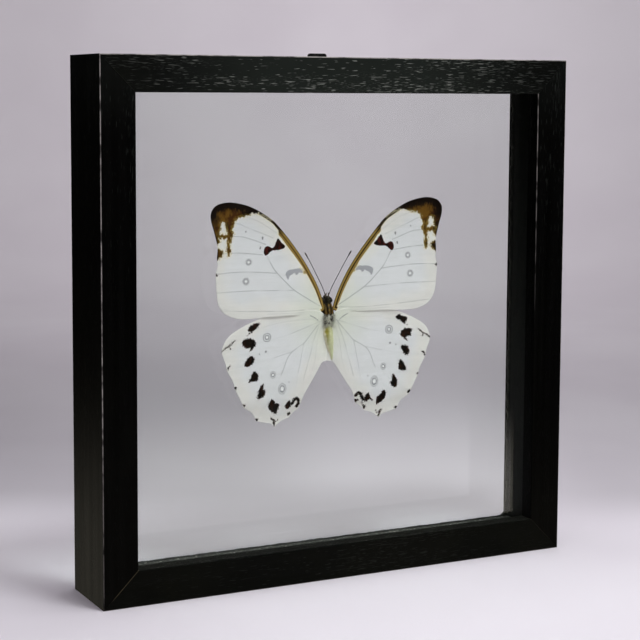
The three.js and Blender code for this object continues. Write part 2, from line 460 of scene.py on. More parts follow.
studio = {
    "floorRadius": 1.0,
    "sweepRadius": 0.62,
    "wallTop": 2.2,
    "paper": tint(226, 221, 229),
    "paperPale": tint(232, 228, 235),
    "paperShade": tint(8, 8, 4),
    "airColour": (1.0, 0.95, 0.86, 1.0),
    "airStrength": 0.03,
    # name: place, aim, size, watts, colour, cone in degrees or 0 for a panel
    "lamps": {
        "key": ((0.04, -0.3, 0.91), (0.1, -0.16, 0), 0.09, 11.5, (0.96, 0.99, 1.0), 81),
        "backdrop": ((0.1, 0.3, 1.3), (0.7, 1.5, 0.5), 0.3, 29, (1.0, 0.985, 0.955), 100),
        "overhead": ((0.1, 0.0, 1.6), (0, 0, 0), 1.0, 9, (0.99, 0.985, 1.0), 0),
        "right": ((0.7, -0.5, 1.5), (0.1, 0, 0), 0.9, 3.8, (1.0, 0.985, 0.96), 0),
        "front": ((0.2, -1.2, 0.85), (0, 0, 0.12), 0.9, 4.2, (1.0, 0.955, 0.91), 0),
    },
    "glowRadius": 0.5,
    # directions on the floor along which painted shade darkens the paper
    "behind": (0.45, 0.893, 0),
    "sideways": (0.893, -0.45, 0),
}


def stageObject(name, bm, material):
    item = newObject(name, bm, [material])
    return item


def buildStudio():
    material, shader, place = newMaterial("pale paper", roughness=0.85, specular=0.2)
    paper = useGroup(fineMottle, Vector=place, Scale=3.0)
    tone = fade(paper["Broad"], 0.35, 0.65)
    tone = blend(tone, studio["paper"], studio["paperPale"])
    # Painted shade: the paper is darkened behind the frame and at both sides, leaving a paler painted pool of
    # light in the middle, as the lamps' falloff would
    behind = vectorCalc("DOT_PRODUCT", place, studio["behind"], "Value")
    sideways = vectorCalc("DOT_PRODUCT", place, studio["sideways"], "Value")
    offMiddle = abs(sideways - 0.06)
    paintedShade = fade(behind, 0.07, 0.17) * fade(behind, 0.3, 0.9, 1.0, 0.25)
    paintedShade = paintedShade * fade(offMiddle, 0.03, 0.12, 0.35, 1.0)
    edges = fade(offMiddle, 0.08, 0.5) * fade(behind, 0.1, 0.3, 0.0, 0.16)
    paintedShade = paintedShade * 0.28 + edges
    tone = blend(paintedShade, tone, studio["paperShade"])
    # Painted shade in reflections: seen in the glass, the paper beyond the lamps' pool is painted black, as a
    # dark room would be, so only the pool shows in the glass
    mirrored = calc("GREATER_THAN", outOf("LightPath")["Glossy Depth"], 0.5)
    away = vectorCalc("LENGTH", place, output="Value")
    unlit = mirrored * fade(away, 0.2, studio["glowRadius"])
    dress(
        shader, colour=blend(unlit, tone, (0.0, 0.0, 0.0, 1.0)),
        normal=relief(cloud(place, 3.0, 0.6, 900.0), 0.0002, 0.4),
    )
    flat, bend, top = (studio[key] for key in ("floorRadius", "sweepRadius", "wallTop"))
    turns = np.linspace(0, math.pi / 2, 14)[1:]
    rise = [(flat + bend * math.sin(a), bend - bend * math.cos(a)) for a in turns]
    bm = bmesh.new()
    spinProfile(bm, [(0, 0), (flat / 3, 0), (flat, 0)] + rise + [(flat + bend, top)], 96, 1e-5)
    bmesh.ops.reverse_faces(bm, faces=bm.faces[:])
    sweep = stageObject("paper_sweep", bm, material)
    sweep.visible_glossy = False
    # A glowing disc just under the floor, seen only in reflections: a painted reflection of the lamps' pool
    # of light, not a lamp
    glow, shader, place = newMaterial(
        "pool of light", roughness=1.0, specular=0.0, colour=(0, 0, 0, 1), glowColour=tint(240, 232, 212),
    )
    across = vectorCalc("LENGTH", place, output="Value")
    dress(shader, glow=fade(across, studio["glowRadius"], 0.2, 0.0, 0.9))
    bm = bmesh.new()
    below = Matrix.Translation((0, 0, -0.0005))
    bmesh.ops.create_circle(bm, cap_ends=True, segments=64, radius=studio["glowRadius"], matrix=below)
    card = stageObject("reflection_card", bm, glow)
    card.visible_camera = card.visible_diffuse = card.visible_shadow = card.visible_transmission = False

    world = bpy.data.worlds.new("studio air")
    bpy.context.scene.world = world
    world.use_nodes = True
    background = world.node_tree.nodes["Background"].inputs
    background["Color"].default_value = studio["airColour"]
    background["Strength"].default_value = studio["airStrength"]
    for name, (spot, aim, size, watts, colour, cone) in studio["lamps"].items():
        lamp = bpy.data.lights.new(name, "SPOT" if cone else "AREA")
        lamp.energy = watts
        lamp.color = colour
        if cone:
            lamp.shadow_soft_size = size
            lamp.spot_size = math.radians(cone)
            lamp.spot_blend = 1.0
        else:
            lamp.size = size
        holder = bpy.data.objects.new(name, lamp)
        bpy.context.collection.objects.link(holder)
        holder.location = spot
        holder.rotation_euler = (Vector(aim) - Vector(spot)).to_track_quat("-Z", "Y").to_euler()
    bpy.context.scene.view_settings.view_transform = "Standard"


buildStudio()
print("studio and camera placed")


# Wooden frame

rail = {
    "face": 17.0,
    "behindLip": 8.5,
    "lip": 8.5,
    "softEdge": 0.55,
    "joint": 0.05,
    "slotWidth": 10.3,
    "slotDepth": 1.35,
    "slotBottom": 235.4,
    "slotOver": 5,
    "plateX": 3.0,
}


wood = {
    # The rails across get paler tints than the uprights: a painted highlight for the light from above that
    # their grain catches
    "across": {
        "turn": (0, 0, 0), "plain": tint(4, 5, 4), "streak": tint(7, 8, 7),
        "poreGlint": tint(126, 130, 123), "stain": 0.5, "innerEdge": 0.0,
    },
    "upright": {
        "turn": (0, math.pi / 2, 0), "plain": tint(1, 1, 1), "streak": tint(4, 4, 4),
        "poreGlint": tint(52, 56, 52), "stain": 0.2, "innerEdge": 0.5,
    },
    "pores": 0.655,
    "dust": 0.14,
    "stainTint": tint(13, 14, 9),
    "topHighlightTint": tint(36, 41, 37),
    "seamTint": tint(66, 60, 46),
    "edgeHighlightTint": tint(168, 164, 160),
    "dustTint": tint(150, 152, 142),
}


def blackWood(way):
    own = wood[way]
    upright = way == "upright"
    material, shader, place = newMaterial(f"black wood, grain {way}", specular=0.035)
    along = outOf("Mapping", Vector=place, Rotation=own["turn"])[0]
    grain = useGroup(openGrain, Vector=along, Pores=wood["pores"])
    dust = useGroup(settledDust, Vector=place, Amount=wood["dust"])["Dust"]
    spot = parts(place)
    stain = fade(cloud(place, 3.0, 0.6, 26.0), 0.4, 0.7)
    figured = blend(fade(grain["Figure"], 0.35, 0.7), own["plain"], own["streak"])
    figured = blend(stain * own["stain"], figured, wood["stainTint"])
    # Painted highlight: the open pores are painted paler towards the top of the frame and along the middle of
    # the top rail, and the rails are hazed lighter near the top, as the light from above catches them
    thin = fade(spot["Z"], 0.12, 0.24, 0.05, 1.0)
    thin = thin * (0.45 if upright else fade(abs(spot["X"]), 0.115, 0.03, 0.12, 1.0))
    topHighlight = fade(spot["Z"], 0.21, 0.25, 0.0, 0.16) if upright else thin * 0.7
    figured = blend(topHighlight, figured, wood["topHighlightTint"])
    pored = blend(grain["Pores"] * thin, figured, own["poreGlint"])
    # A thin line shows where the corners meet at 45 degrees
    fromSide = frameWide / 2 - abs(spot["X"])
    fromEnd = calc("MINIMUM", spot["Z"], frameTall - spot["Z"])
    gap = abs(fromSide - fromEnd)
    seam = fade(gap, 0.0004, 0.0001) * fade(fromSide, 0.003, 0.007)
    worn = fade(spot["Z"], 0.15, 0.02, 0.06, 0.9)
    worn = worn * fade(spot["X"], 0.04, -0.04, 0.12, 1.0)
    pored = blend(seam * worn, pored, wood["seamTint"])
    # Painted highlight: a thin pale line along the front edges, and along the right upright's inner edge,
    # stronger higher up, where a lamp glints on the rounded edge
    nearFront = fade(spot["Y"] - frontY, 0.0005, 0.00025)
    outerEdge = fade(calc("MINIMUM", fromSide, fromEnd), 0.0005, 0.00025)
    innerEdge = fade(abs(fromSide - rail["face"] * mm), 0.0005, 0.0002)
    innerEdge = innerEdge * fade(spot["Z"], 0.11, 0.22, 0.0, own["innerEdge"])
    innerEdge = innerEdge * fade(spot["X"], 0.0, 0.05)
    edgeHighlight = calc("MAXIMUM", outerEdge, innerEdge) * nearFront
    patchy = fade(cloud(along, 2.0, 0.6, 160.0), 0.32, 0.6, 0.15, 1.0)
    high = fade(spot["Z"], 0.01, 0.12, 0.25, 1.0)
    edgeHighlight = edgeHighlight * patchy * high
    pored = blend(edgeHighlight, pored, wood["edgeHighlightTint"])
    rough = fade(grain["Figure"], 0.3, 0.7, 0.44, 0.5) + dust * 0.3
    dress(
        shader, colour=blend(dust, pored, wood["dustTint"]), roughness=rough,
        normal=relief(grain["Height"], 0.0002, 0.7),
    )
    return material


across, upward = frameWide / mm, frameTall / mm
sides = {
    # inward direction, start corner, length, in millimetres
    "top": ((0, 0, -1), (-across / 2, 0, upward), across),
    "bottom": ((0, 0, 1), (across / 2, 0, 0), across),
    "left": ((1, 0, 0), (-across / 2, 0, 0), upward),
    "right": ((-1, 0, 0), (across / 2, 0, upward), upward),
}


def moveToSide(bm, name):
    # From x inward, y depth and z along the side, in millimetres, to its place in the frame
    inward, start = (Vector(value) for value in sides[name][:2])
    back = Vector((0, 1, 0))
    turn = Matrix((inward, back, inward.cross(back))).transposed().to_4x4()
    place = Matrix.Translation(start + Vector((0, frontY / mm, 0))) @ turn
    bmesh.ops.transform(bm, matrix=Matrix.Scale(mm, 4) @ place, verts=bm.verts[:])


def railBlank(length):
    # The section lies in x (inward) and y (depth), and z runs along. Both ends are cut at 45 degrees.
    face, hollow, lip = rail["face"], rail["behindLip"], rail["lip"]
    depth = (backY - frontY) / mm
    bm = bmesh.new()
    section = [(0, 0), (face, 0), (face, lip), (hollow, lip), (hollow, depth), (0, depth)]
    corners = [bm.verts.new((u, d, 0)) for u, d in section]
    start = bm.faces.new(corners)
    grown = bmesh.ops.extrude_face_region(bm, geom=[start])
    far = [v for v in grown["geom"] if isinstance(v, bmesh.types.BMVert)]
    for v in far:
        v.co.z = length - v.co.x - rail["joint"]
    for v in corners:
        v.co.z = v.co.x + rail["joint"]
    bmesh.ops.recalc_face_normals(bm, faces=bm.faces[:])
    longEdges = [e for e in bm.edges if abs(e.verts[0].co.z - e.verts[1].co.z) > length / 2]
    outer = [e for e in longEdges if not (e.verts[0].co.x == hollow and e.verts[0].co.y == lip)]
    bmesh.ops.bevel(
        bm, geom=outer, offset=rail["softEdge"], offset_type="OFFSET", segments=4,
        profile=0.5, affect="EDGES", material=-1, clamp_overlap=True,
    )
    return bm


def cutSlot(piece):
    # The hanging plate is let into the back of the top rail
    bm = bmesh.new()
    height = upward + rail["slotOver"] - rail["slotBottom"]
    middle = (rail["plateX"], backY / mm, rail["slotBottom"] + height / 2)
    size = Matrix.Diagonal((rail["slotWidth"], 2 * rail["slotDepth"], height, 1))
    bmesh.ops.create_cube(bm, size=1, matrix=Matrix.Scale(mm, 4) @ Matrix.Translation(middle) @ size)
    cutAway(piece, bm)


def buildFrame():
    grains = {way: blackWood(way) for way in ("across", "upright")}
    for name in sides:
        bm = railBlank(sides[name][2])
        moveToSide(bm, name)
        finish = grains["across" if name in ("top", "bottom") else "upright"]
        piece = finishPiece(f"{name}_rail", bm, [finish], [f"rail_{name}"], smooth=False)
        if name == "top":
            cutSlot(piece)


buildFrame()
print("rails done")


# Panes, spacers and sealant

def clearGlass():
    # Light passes straight through to what stands behind, as it does through thin flat glass
    material, shader, _ = newMaterial(
        "clear glass", roughness=0.0, ior=1.48, transmission=1.0, metallic=0.0,
        colour=(0.965, 0.985, 0.972, 1),
    )
    seeThrough = outOf("BsdfTransparent", Color=(0.93, 0.945, 0.935, 1))[0]
    shadow = outOf("LightPath")["Is Shadow Ray"]
    joined = outOf("MixShader", i0=shadow, i1=Wire(shader.outputs[0]), i2=seeThrough)[0]
    setSocket(tree.nodes["Material Output"].inputs["Surface"], joined)
    return material


def blackBoard():
    material, shader, place = newMaterial("black board", specular=0.22)
    fibre = useGroup(fineMottle, Vector=stretch(place, (1, 1, 0.55)), Scale=420.0)
    dust = useGroup(settledDust, Vector=place, Amount=0.9)["Dust"]
    base = blend(fade(fibre["Broad"], 0.35, 0.65), tint(11, 12, 10), tint(21, 23, 19))
    dress(
        shader, colour=blend(dust, base, tint(176, 176, 168)),
        roughness=fade(fibre["Fine"], 0.3, 0.7, 0.42, 0.62),
    )
    height = fibre["Fine"] + fibre["Broad"] * 0.8
    dress(shader, normal=relief(height, 0.00012, 0.8))
    return material


def mottledFinish(name, grain, spread, pair, rough, layer, distance, strength, dusty=None, **settings):
    # Two tints mottled together, with a fine unevenness
    material, shader, place = newMaterial(name, **settings)
    skin = useGroup(fineMottle, Vector=place, Scale=grain)
    base = blend(fade(skin["Broad"], *spread), *pair)
    if dusty:
        amount, dustTint = dusty
        base = blend(useGroup(settledDust, Vector=place, Amount=amount)["Dust"], base, dustTint)
    dress(shader, colour=base, normal=relief(skin[layer], distance, strength))
    if rough:
        dress(shader, roughness=fade(skin["Fine"], 0.3, 0.7, *rough))
    return material


bead = {
    "outer": 8.6,
    "width": 3.1,
    "rise": 2.5,
    "cornerWidth": 1.5,
    "cornerReach": 2.0,
    "ringSides": 14,
    "ringSpacing": 0.45,
    # seed, how uneven
    "beads": {"top": (1.3, 0.5), "bottom": (2.9, 0.25), "left": (4.1, 0.5), "right": (5.7, 0.9)},
}


def beadWidth(s, length, seed, uneven):
    slow = 0.3 * math.sin(0.31 * s + seed) + 0.2 * math.sin(0.83 * s + 1 + 2 * seed)
    lumps = 0.5 * noise.noise(Vector((s * 0.55, seed, 0))) + 0.35 * noise.noise(Vector((s * 1.6, seed, 4)))
    jags = 0.3 * noise.noise(Vector((s * 3.1, seed, 8)))
    corner = bead["cornerWidth"] * math.exp(-min(s, length - s) / bead["cornerReach"])
    return bead["width"] + uneven * (slow + lumps + jags) + corner


def buildBead(name, finish):
    seed, uneven = bead["beads"][name]
    length = sides[name][2]
    bm = bmesh.new()
    rings = int(length / bead["ringSpacing"])
    line = [(0, 0, i) for i in range(rings + 1)]
    tube(bm, line, [1.0] * len(line), bead["ringSides"])
    base = (rearPaneBack - frontY) / mm + 0.1
    for v in bm.verts:
        s = bead["outer"] + v.co.z / rings * (length - 2 * bead["outer"])
        inner = s - bead["outer"]
        width = beadWidth(inner, length - 2 * bead["outer"], seed, uneven)
        rise = bead["rise"] * (1 + 0.25 * noise.noise(Vector((s * 0.4, seed, 9))))
        u = bead["outer"] + width * max(0, 0.42 + 0.58 * v.co.x)
        d = base + rise * max(0, 0.35 + 0.65 * v.co.y)
        reach = u + 0.05
        v.co = (u, d, reach + v.co.z / rings * (length - 2 * reach))
    bmesh.ops.recalc_face_normals(bm, faces=bm.faces[:])
    moveToSide(bm, name)
    finishPiece(f"{name}_bead", bm, [finish], [f"sealant_{name}"])


def buildGlazing():
    glass = clearGlass()
    board = blackBoard()
    for name in ("front_glass", "rear_glass"):
        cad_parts[name].material_slots[0].material = glass
    sealant = mottledFinish(
        "black sealant", 260.0, (0.3, 0.7), (tint(14, 15, 14), tint(30, 31, 29)), (0.32, 0.6), "Broad",
        0.0003, 0.8, (0.2, tint(140, 140, 134)), specular=0.4,
    )
    for name in sides:
        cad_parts[f"spacer_{name}"].material_slots[0].material = board
        buildBead(name, sealant)


buildGlazing()
print("panes, spacers and sealant done")


# Hanging plate and its screws

plateScrew = {
    "headRadius": 1.75,
    "headHeight": 0.9,
    "shankRadius": 0.7,
    "length": 8.2,
    "slotWidth": 0.42,
    "slotLength": 2.1,
    "slotDepth": 0.55,
}


def buildScrew(node, finish, turn):
    low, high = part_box(node)
    middle = (low + high) / 2 / mm
    bm = bmesh.new()
    head, shank = plateScrew["headRadius"], plateScrew["shankRadius"]
    under = -plateScrew["headHeight"]
    profile = [(0, -0.08), (head * 0.72, -0.08), (head, -0.2), (head, -0.26), (shank, under)]
    # The thread shows as a ring of small ridges down the shank
    depth = under - 0.5
    while depth > -plateScrew["length"] + 1.6:
        profile += [(shank - 0.12, depth), (shank + 0.06, depth - 0.3)]
        depth -= 0.6
    profile += [(shank - 0.2, depth), (0, depth - 1)]
    spinProfile(bm, profile, 32)
    stand = Matrix.Translation((middle.x, backY / mm, middle.z)) @ Matrix.Rotation(-math.pi / 2, 4, "X")
    toWorld = Matrix.Scale(mm, 4) @ stand @ Matrix.Rotation(turn, 4, "Z")
    bmesh.ops.transform(bm, matrix=toWorld, verts=bm.verts[:])
    name = node.replace("plate_screw", "hanger_screw")
    piece = finishPiece(name, bm, [finish], [node], smooth=False)
    cutters = bmesh.new()
    long, wide, deep = (plateScrew[key] for key in ("slotLength", "slotWidth", "slotDepth"))
    size = Matrix.Diagonal((long, wide, 2 * deep, 1))
    for way in (0, math.pi / 2):
        bmesh.ops.create_cube(cutters, size=1, matrix=toWorld @ Matrix.Rotation(way, 4, "Z") @ size)
    cutAway(piece, cutters, crossed=True)


def buildHanger():
    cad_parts["hanging_plate"].material_slots[0].material = mottledFinish(
        "blackened iron", 500.0, (0.35, 0.65), (tint(24, 24, 27), tint(52, 51, 52)), (0.35, 0.55),
        "Fine", 0.00004, 0.7, metallic=0.85,
    )
    zinc = mottledFinish(
        "zinc plated steel", 900.0, (0.3, 0.7), (tint(176, 177, 172), tint(205, 204, 196)), (0.22, 0.4),
        "Fine", 0.00003, 0.5, metallic=1.0,
    )
    buildScrew("plate_screw_left", zinc, 0.35)
    buildScrew("plate_screw_right", zinc, 1.1)


buildHanger()
print("hanger done")


# Wings. Millimetres: x outward from the butterfly's middle, z up from the bottom of the frame.

wing = {
    "cell": 0.42,
    "thickness": 0.12,
    "curveSteps": 6,
    "veinWidth": 0.28,
    "veinRise": 0.07,
    "ripple": 0.17,
    "rippleSeed": {"fore": 3.0, "hind": 11.0},
}

foreOutline = [
    (2.6, 131.2), (5.9, 140), (11.5, 150), (18.7, 160), (27.2, 170), (32.6, 175), (41.2, 180), (48, 182.3),
    (54.8, 183.2), (60.6, 182), (63.4, 179), (63.7, 175), (62, 169), (60.3, 162), (60.6, 157), (60.3, 153),
    (61.2, 149), (60.9, 142), (60, 135), (57, 130.4), (52.6, 128), (46, 126.8), (30, 127.2), (12, 127.5),
    (3.2, 128.4),
]
# The hindwing's edge has a small tooth at the end of each vein
hindOutline = [
    (3.2, 127.4), (12, 129.6), (26, 129.4), (36, 127.2), (44.2, 124.2), (51, 120.9), (55, 118), (57, 114.8),
    (58, 111.6), (57.2, 109), (55.7, 105.2), (55.5, 103.2), (54.9, 101.8), (53, 98.6), (51.5, 95.4),
    (51.2, 93.4), (50.3, 91.8), (48.3, 88), (46.9, 85.2), (46.4, 83.8), (45, 82.7), (41.6, 80.6),
    (39.8, 77.8), (39, 76.3), (37.6, 76), (34, 75.1), (31, 74.4), (29.4, 72.8), (27.8, 73.8), (25.8, 75.2),
    (23, 76.2), (21.2, 76.6), (20, 78), (18, 79.6), (15.9, 80.9), (14.9, 83.6), (13.4, 87.4), (9.8, 92.8),
    (6.1, 98.4), (3.6, 102), (2.4, 103), (0.06, 103.4), (0.06, 105.5), (0.06, 112), (1.9, 121),
]

forePattern = {
    # x, z, radius, height over width, then the inner circle's radius and thickness as parts of the
    # whole radius, and the outer circle's strength
    "rings": [(44.1, 154.3, 1.9, 1.0, 0.58, 0.5, 0.2), (45.5, 145.1, 2.1, 1.0, 0.58, 0.5, 0.2)],
    "freckles": [
        (45.5, 169, 0.4), (36.7, 165.9, 0.5), (36.7, 165.2, 0.4), (38, 160.6, 0.42), (37.8, 161.2, 0.4),
    ],
    "dots": [(60.8, 148.9, 0.6)],
    "apex": [
        [
            (31, 175.3), (35, 176.9), (40, 178.1), (44, 177.2), (48.5, 176.2), (51.5, 174.6), (51.8, 172.6),
            (53.2, 170.5), (52.3, 168), (53.4, 165.3), (54.3, 163), (53.9, 160), (54.6, 157.8),
            (55.3, 160.5), (55.2, 164), (55, 167.5), (55.4, 171), (56.5, 173.6), (58.8, 173.4), (59.3, 170),
            (60.2, 167.5), (59.4, 165), (61, 163.2), (66, 162.6), (70, 176), (62, 190), (40, 188),
        ],
        [(54.6, 167.6), (60.4, 167.8), (60.4, 166.4), (54.6, 166.6)],
        [(62, 161.4), (59.6, 160.6), (57.5, 159.2), (58.4, 157.5), (60, 156.4), (62.4, 155.2)],
    ],
    "bar": [
        (28.5, 165.4), (26.5, 163.2), (24.6, 161.2), (25, 160.4), (27.6, 159.6), (31, 159.4), (33, 158.3),
        (34.9, 157), (36, 158.4), (35.8, 160.2), (34.8, 161.4), (33.2, 161.5), (31.5, 160.7), (30.2, 161.9),
        (29.3, 164),
    ],
    "hook": [
        (13.6, 149.6), (15.8, 150.2), (18.5, 150), (21.6, 149.8), (24.1, 148.5), (24, 146.2), (23, 144.9),
        (22.3, 146.6), (20.5, 147.4), (19.4, 148.1), (18.4, 146.9), (16.6, 148.1), (14, 147.6),
    ],
    # the leading edge's band: heights, and its width at each
    "bandHeights": [128, 133, 150, 160, 167, 169, 173, 177, 180],
    "bandWidth": {
        "left": [1.0, 1.9, 2.4, 2.9, 2.7, 1.4, 1.2, 1.5, -1.0],
        "right": [1.6, 2.6, 3.1, 3.2, 2.9, 1.6, 1.4, 1.8, -1.0],
    },
    "costaNub": [(16.2, 150.6), (14.4, 148.8), (14.3, 147.4), (12.8, 147.6)],
    "costa": [
        (27.3, 167.2), (27, 166), (24, 161.6), (20.2, 157), (16.7, 152.7), (15, 149.4), (13, 146.6),
        (10.3, 142), (8, 137.5), (6.6, 133.8), (5, 130.2), (3.4, 127.8), (-4, 127), (0, 146), (20, 170),
        (27.6, 173),
    ],
    # line, strength
    "veins": [
        [
            [
                (5, 131), (12, 135), (20, 140), (26, 145.5), (29, 148.5), (31, 151), (33.5, 155.5),
                (34.5, 157.5),
            ],
            0.8,
        ],
        [[(29, 148.3), (40, 149.3), (50, 149.7), (61, 149.2)], 0.7],
        [[(35, 157.3), (45, 158.5), (53, 159), (60.5, 158.4)], 0.7],
        [[(19.5, 139.5), (30, 140), (45, 140.4), (61, 140.2)], 0.6],
        [[(5, 130), (20, 129.5), (40, 130.3), (57, 131.4)], 0.5],
        [[(5, 128.9), (16, 128.3), (34, 128.6)], 0.35],
        [[(35, 162.5), (45, 166), (50, 166.8), (61, 166.9)], 0.6],
        [[(31, 165.5), (45, 171), (50, 173), (63, 175)], 0.45],
        [[(29.5, 168), (38, 173.3), (44, 175.6), (50, 178)], 0.3],
    ],
    "leadingEdge": [
        (26.5, 165.8), (29.7, 169.8), (34.2, 174), (38, 176.2), (41, 178), (46, 179.4), (47, 182),
        (40, 184), (24, 172),
    ],
}

hindPattern = {
    "left": {
        "spots": [
            [
                (44.3, 121.3), (43, 123.2), (39.8, 124.6), (37.9, 124.3), (38.6, 122.8), (41.2, 120.9),
                (44.6, 118.6), (43.2, 120.4),
            ],
            [
                (47.4, 114.6), (46.7, 116.4), (44.5, 117.4), (41.5, 116.9), (40, 115), (40.4, 113.3),
                (43.3, 110.9), (42.7, 112.7), (45.2, 112.6),
            ],
            [
                (46.2, 104.6), (44.8, 107), (43, 108.6), (40.9, 107.9), (40.9, 105.9), (42.9, 104),
                (45, 103.6),
            ],
            [
                (43.8, 95.8), (42.6, 98.2), (41.6, 100.5), (40.2, 101.2), (38.6, 99), (39.3, 96.3),
                (41.5, 96.2),
            ],
            [
                (39.1, 88.6), (38.5, 91.5), (37, 93.9), (35.9, 94.6), (35.8, 92.2), (34.8, 91), (35, 89.2),
                (36.8, 87.9), (38.5, 87.2),
            ],
            [
                (33.2, 83.8), (32, 85.9), (30.5, 86.4), (29.2, 84.7), (27.2, 83.8), (27.8, 81), (28.4, 79),
                (30.6, 80.2), (32.6, 82),
            ],
            [(24, 82.6), (22.8, 84.4), (21.8, 85.6), (20.8, 84.2), (20.5, 82.2), (21.8, 81.2), (22.9, 81)],
        ],
        "strokes": [
            [[(19.8, 83.6), (19.1, 85.2), (18.1, 86), (16.9, 85.5), (16.3, 84.2), (16.8, 82.7)], 0.8],
            [[(30.9, 76.9), (29.7, 75.8), (29.3, 73.4)], 0.5],
            [[(27.2, 76.2), (28.8, 75)], 0.25],
        ],
        "dots": [(17.1, 82.3, 0.95), (21.2, 78.5, 0.85)],
    },
    "right": {
        "spots": [
            [
                (37.6, 123), (39.4, 124.6), (41.4, 123.7), (44.1, 122.9), (44.4, 121.4), (43.4, 120.4),
                (44.7, 118.7), (41.8, 120.2), (39.8, 121.8),
            ],
            [
                (40.3, 115), (42, 116.7), (42.8, 117.4), (45, 117.1), (47.6, 116.4), (46.6, 115),
                (46.6, 113.3), (43.6, 112.9), (44.9, 110.9), (41.8, 112.7),
            ],
            [
                (40.9, 108.1), (43, 108.7), (44.8, 108), (45.9, 105.2), (45.2, 103.8), (43.6, 103.7),
                (42, 105.4),
            ],
            [
                (40.3, 101.5), (41.9, 100.7), (43.1, 98.6), (44.1, 96.4), (42.8, 95.8), (40.2, 96.2),
                (39.5, 98.8),
            ],
            [
                (36.2, 94.6), (37.7, 93.2), (38.9, 91), (38.9, 88.8), (37.9, 87.3), (36.2, 88.2),
                (34.8, 89.8), (35.7, 91.4),
            ],
            [
                (30.8, 86.7), (32.6, 85.2), (32.3, 83), (31, 81.1), (28.8, 79.9), (27.6, 79.4),
                (27.3, 81.5), (27.5, 83.2), (29.4, 84.5),
            ],
            [(19.8, 82), (20.9, 84.2), (22.2, 85.8), (23.5, 84.2), (25.4, 81.3), (23.6, 82.4), (21.9, 81.4)],
        ],
        "strokes": [
            [[(19.9, 82.6), (18.6, 84.6), (17.7, 86), (16.5, 86), (15.7, 85)], 0.8],
            [[(30.5, 76.7), (29.6, 75.6), (28.9, 73.3)], 0.5],
            [[(27.3, 76.4), (28.5, 74.8)], 0.25],
            [[(19.2, 81), (20.6, 78.8)], 0.25],
        ],
        "dots": [(15.7, 82.2, 1.0), (16.9, 82.4, 0.5), (20.9, 78.5, 0.9)],
    },
    "edgeDots": [(38.7, 77.1, 0.72), (46, 84.8, 0.75), (50.7, 93.7, 0.65), (57.3, 112.2, 0.4)],
    "edgeStrokes": [
        [[(54.9, 102.9), (54.5, 103.9), (53.6, 104.6)], 0.4],
        [[(58, 111.9), (56, 113.3), (53.6, 114.6), (50.8, 116.7)], 0.26],
        [[(54, 113.9), (53.4, 113)], 0.3],
    ],
    "rings": [
        (33.95, 117.2, 2.15, 1.0, 0.47, 0.22, 0.9), (30.8, 98.7, 1.6, 1.1, 0.52, 0.24, 0.65),
        (25.7, 91.4, 2.2, 1.25, 0.56, 0.2, 0.6),
    ],
    "smudges": [(34.6, 110.3, 0.55), (38, 109.3, 0.35), (22, 94.5, 0.3)],
    "veins": [
        [[(4, 124), (8, 119.5), (12, 115), (14, 113), (20, 109.5), (23, 106), (25, 101), (26.5, 98)], 0.8],
        [[(14, 112.5), (15, 108), (16, 103), (17, 99)], 0.5],
        [[(17, 99), (18.6, 90), (20, 84)], 0.15],
        [[(5, 122), (8, 115), (10, 108), (12.5, 100), (14, 95)], 0.5],
        [[(4, 121), (6.5, 112), (7.5, 104), (10, 96)], 0.3],
        [[(5, 123.5), (14, 120.5), (22, 118)], 0.45],
        [[(22, 118), (34, 115.5), (48, 113.6), (57, 112)], 0.14],
        [[(20, 109.5), (30, 107)], 0.4],
        [[(30, 107), (42, 104.6), (54.5, 103)], 0.14],
        [[(23.5, 105), (34, 99.5), (50.5, 93.6)], 0.14],
        [[(25, 101), (35, 92), (46, 84.8)], 0.14],
        [[(26.3, 98.6), (32, 88), (38.6, 77)], 0.14],
        [[(5, 124.6), (16, 124.8), (30, 123.6), (44, 120.4)], 0.2],
        [[(10.5, 126.6), (8, 125.4), (6.2, 124)], 1.2],
    ],
}


wingPatterns = {"fore": forePattern, "hind": hindPattern}


def foreDepth(x, z):
    # How far behind the wings' plane the forewing lies, in millimetres
    lean = 0.05 - 0.85 * smoothStep(8, 26, x)
    root = 0.5 * np.exp(-(x - 2.6) / 2.6)
    droop = 0.35 * smoothStep(52, 62, x) * smoothStep(150, 130, z)
    return lean + root + droop


def hindDepth(x, z):
    innerEdge = 2.6 + 0.6 * np.clip(103 - z, 0, 40)
    lean = -0.25 + 1.0 * np.exp(-np.clip(x - innerEdge, 0, 99) / 6) * smoothStep(127, 116, z)
    tail = 1.2 * smoothStep(88, 76, z)
    root = 0.9 * np.exp(-(x - 2) / 3.2)
    return lean + tail + root + 0.12 * smoothStep(124, 130, z)


def rippleAt(x, z, way, seed):
    broad = noise.noise(Vector((x * way / 15, z / 15, seed)))
    small = noise.noise(Vector((x * way / 5, z / 5, seed + 7)))
    return wing["ripple"] * (broad + 0.3 * small)


def veinField(marks, places):
    # How far the nearest vein is, and how strongly it shows
    nearest = np.full(len(places), 9.0)
    strength = np.zeros(len(places))
    for points, weight in marks["veins"]:
        apart = distanceTo(smoothCurve(points, 5, False), places)
        strength = np.where(apart < nearest, weight, strength)
        nearest = np.minimum(nearest, apart)
    return nearest, strength


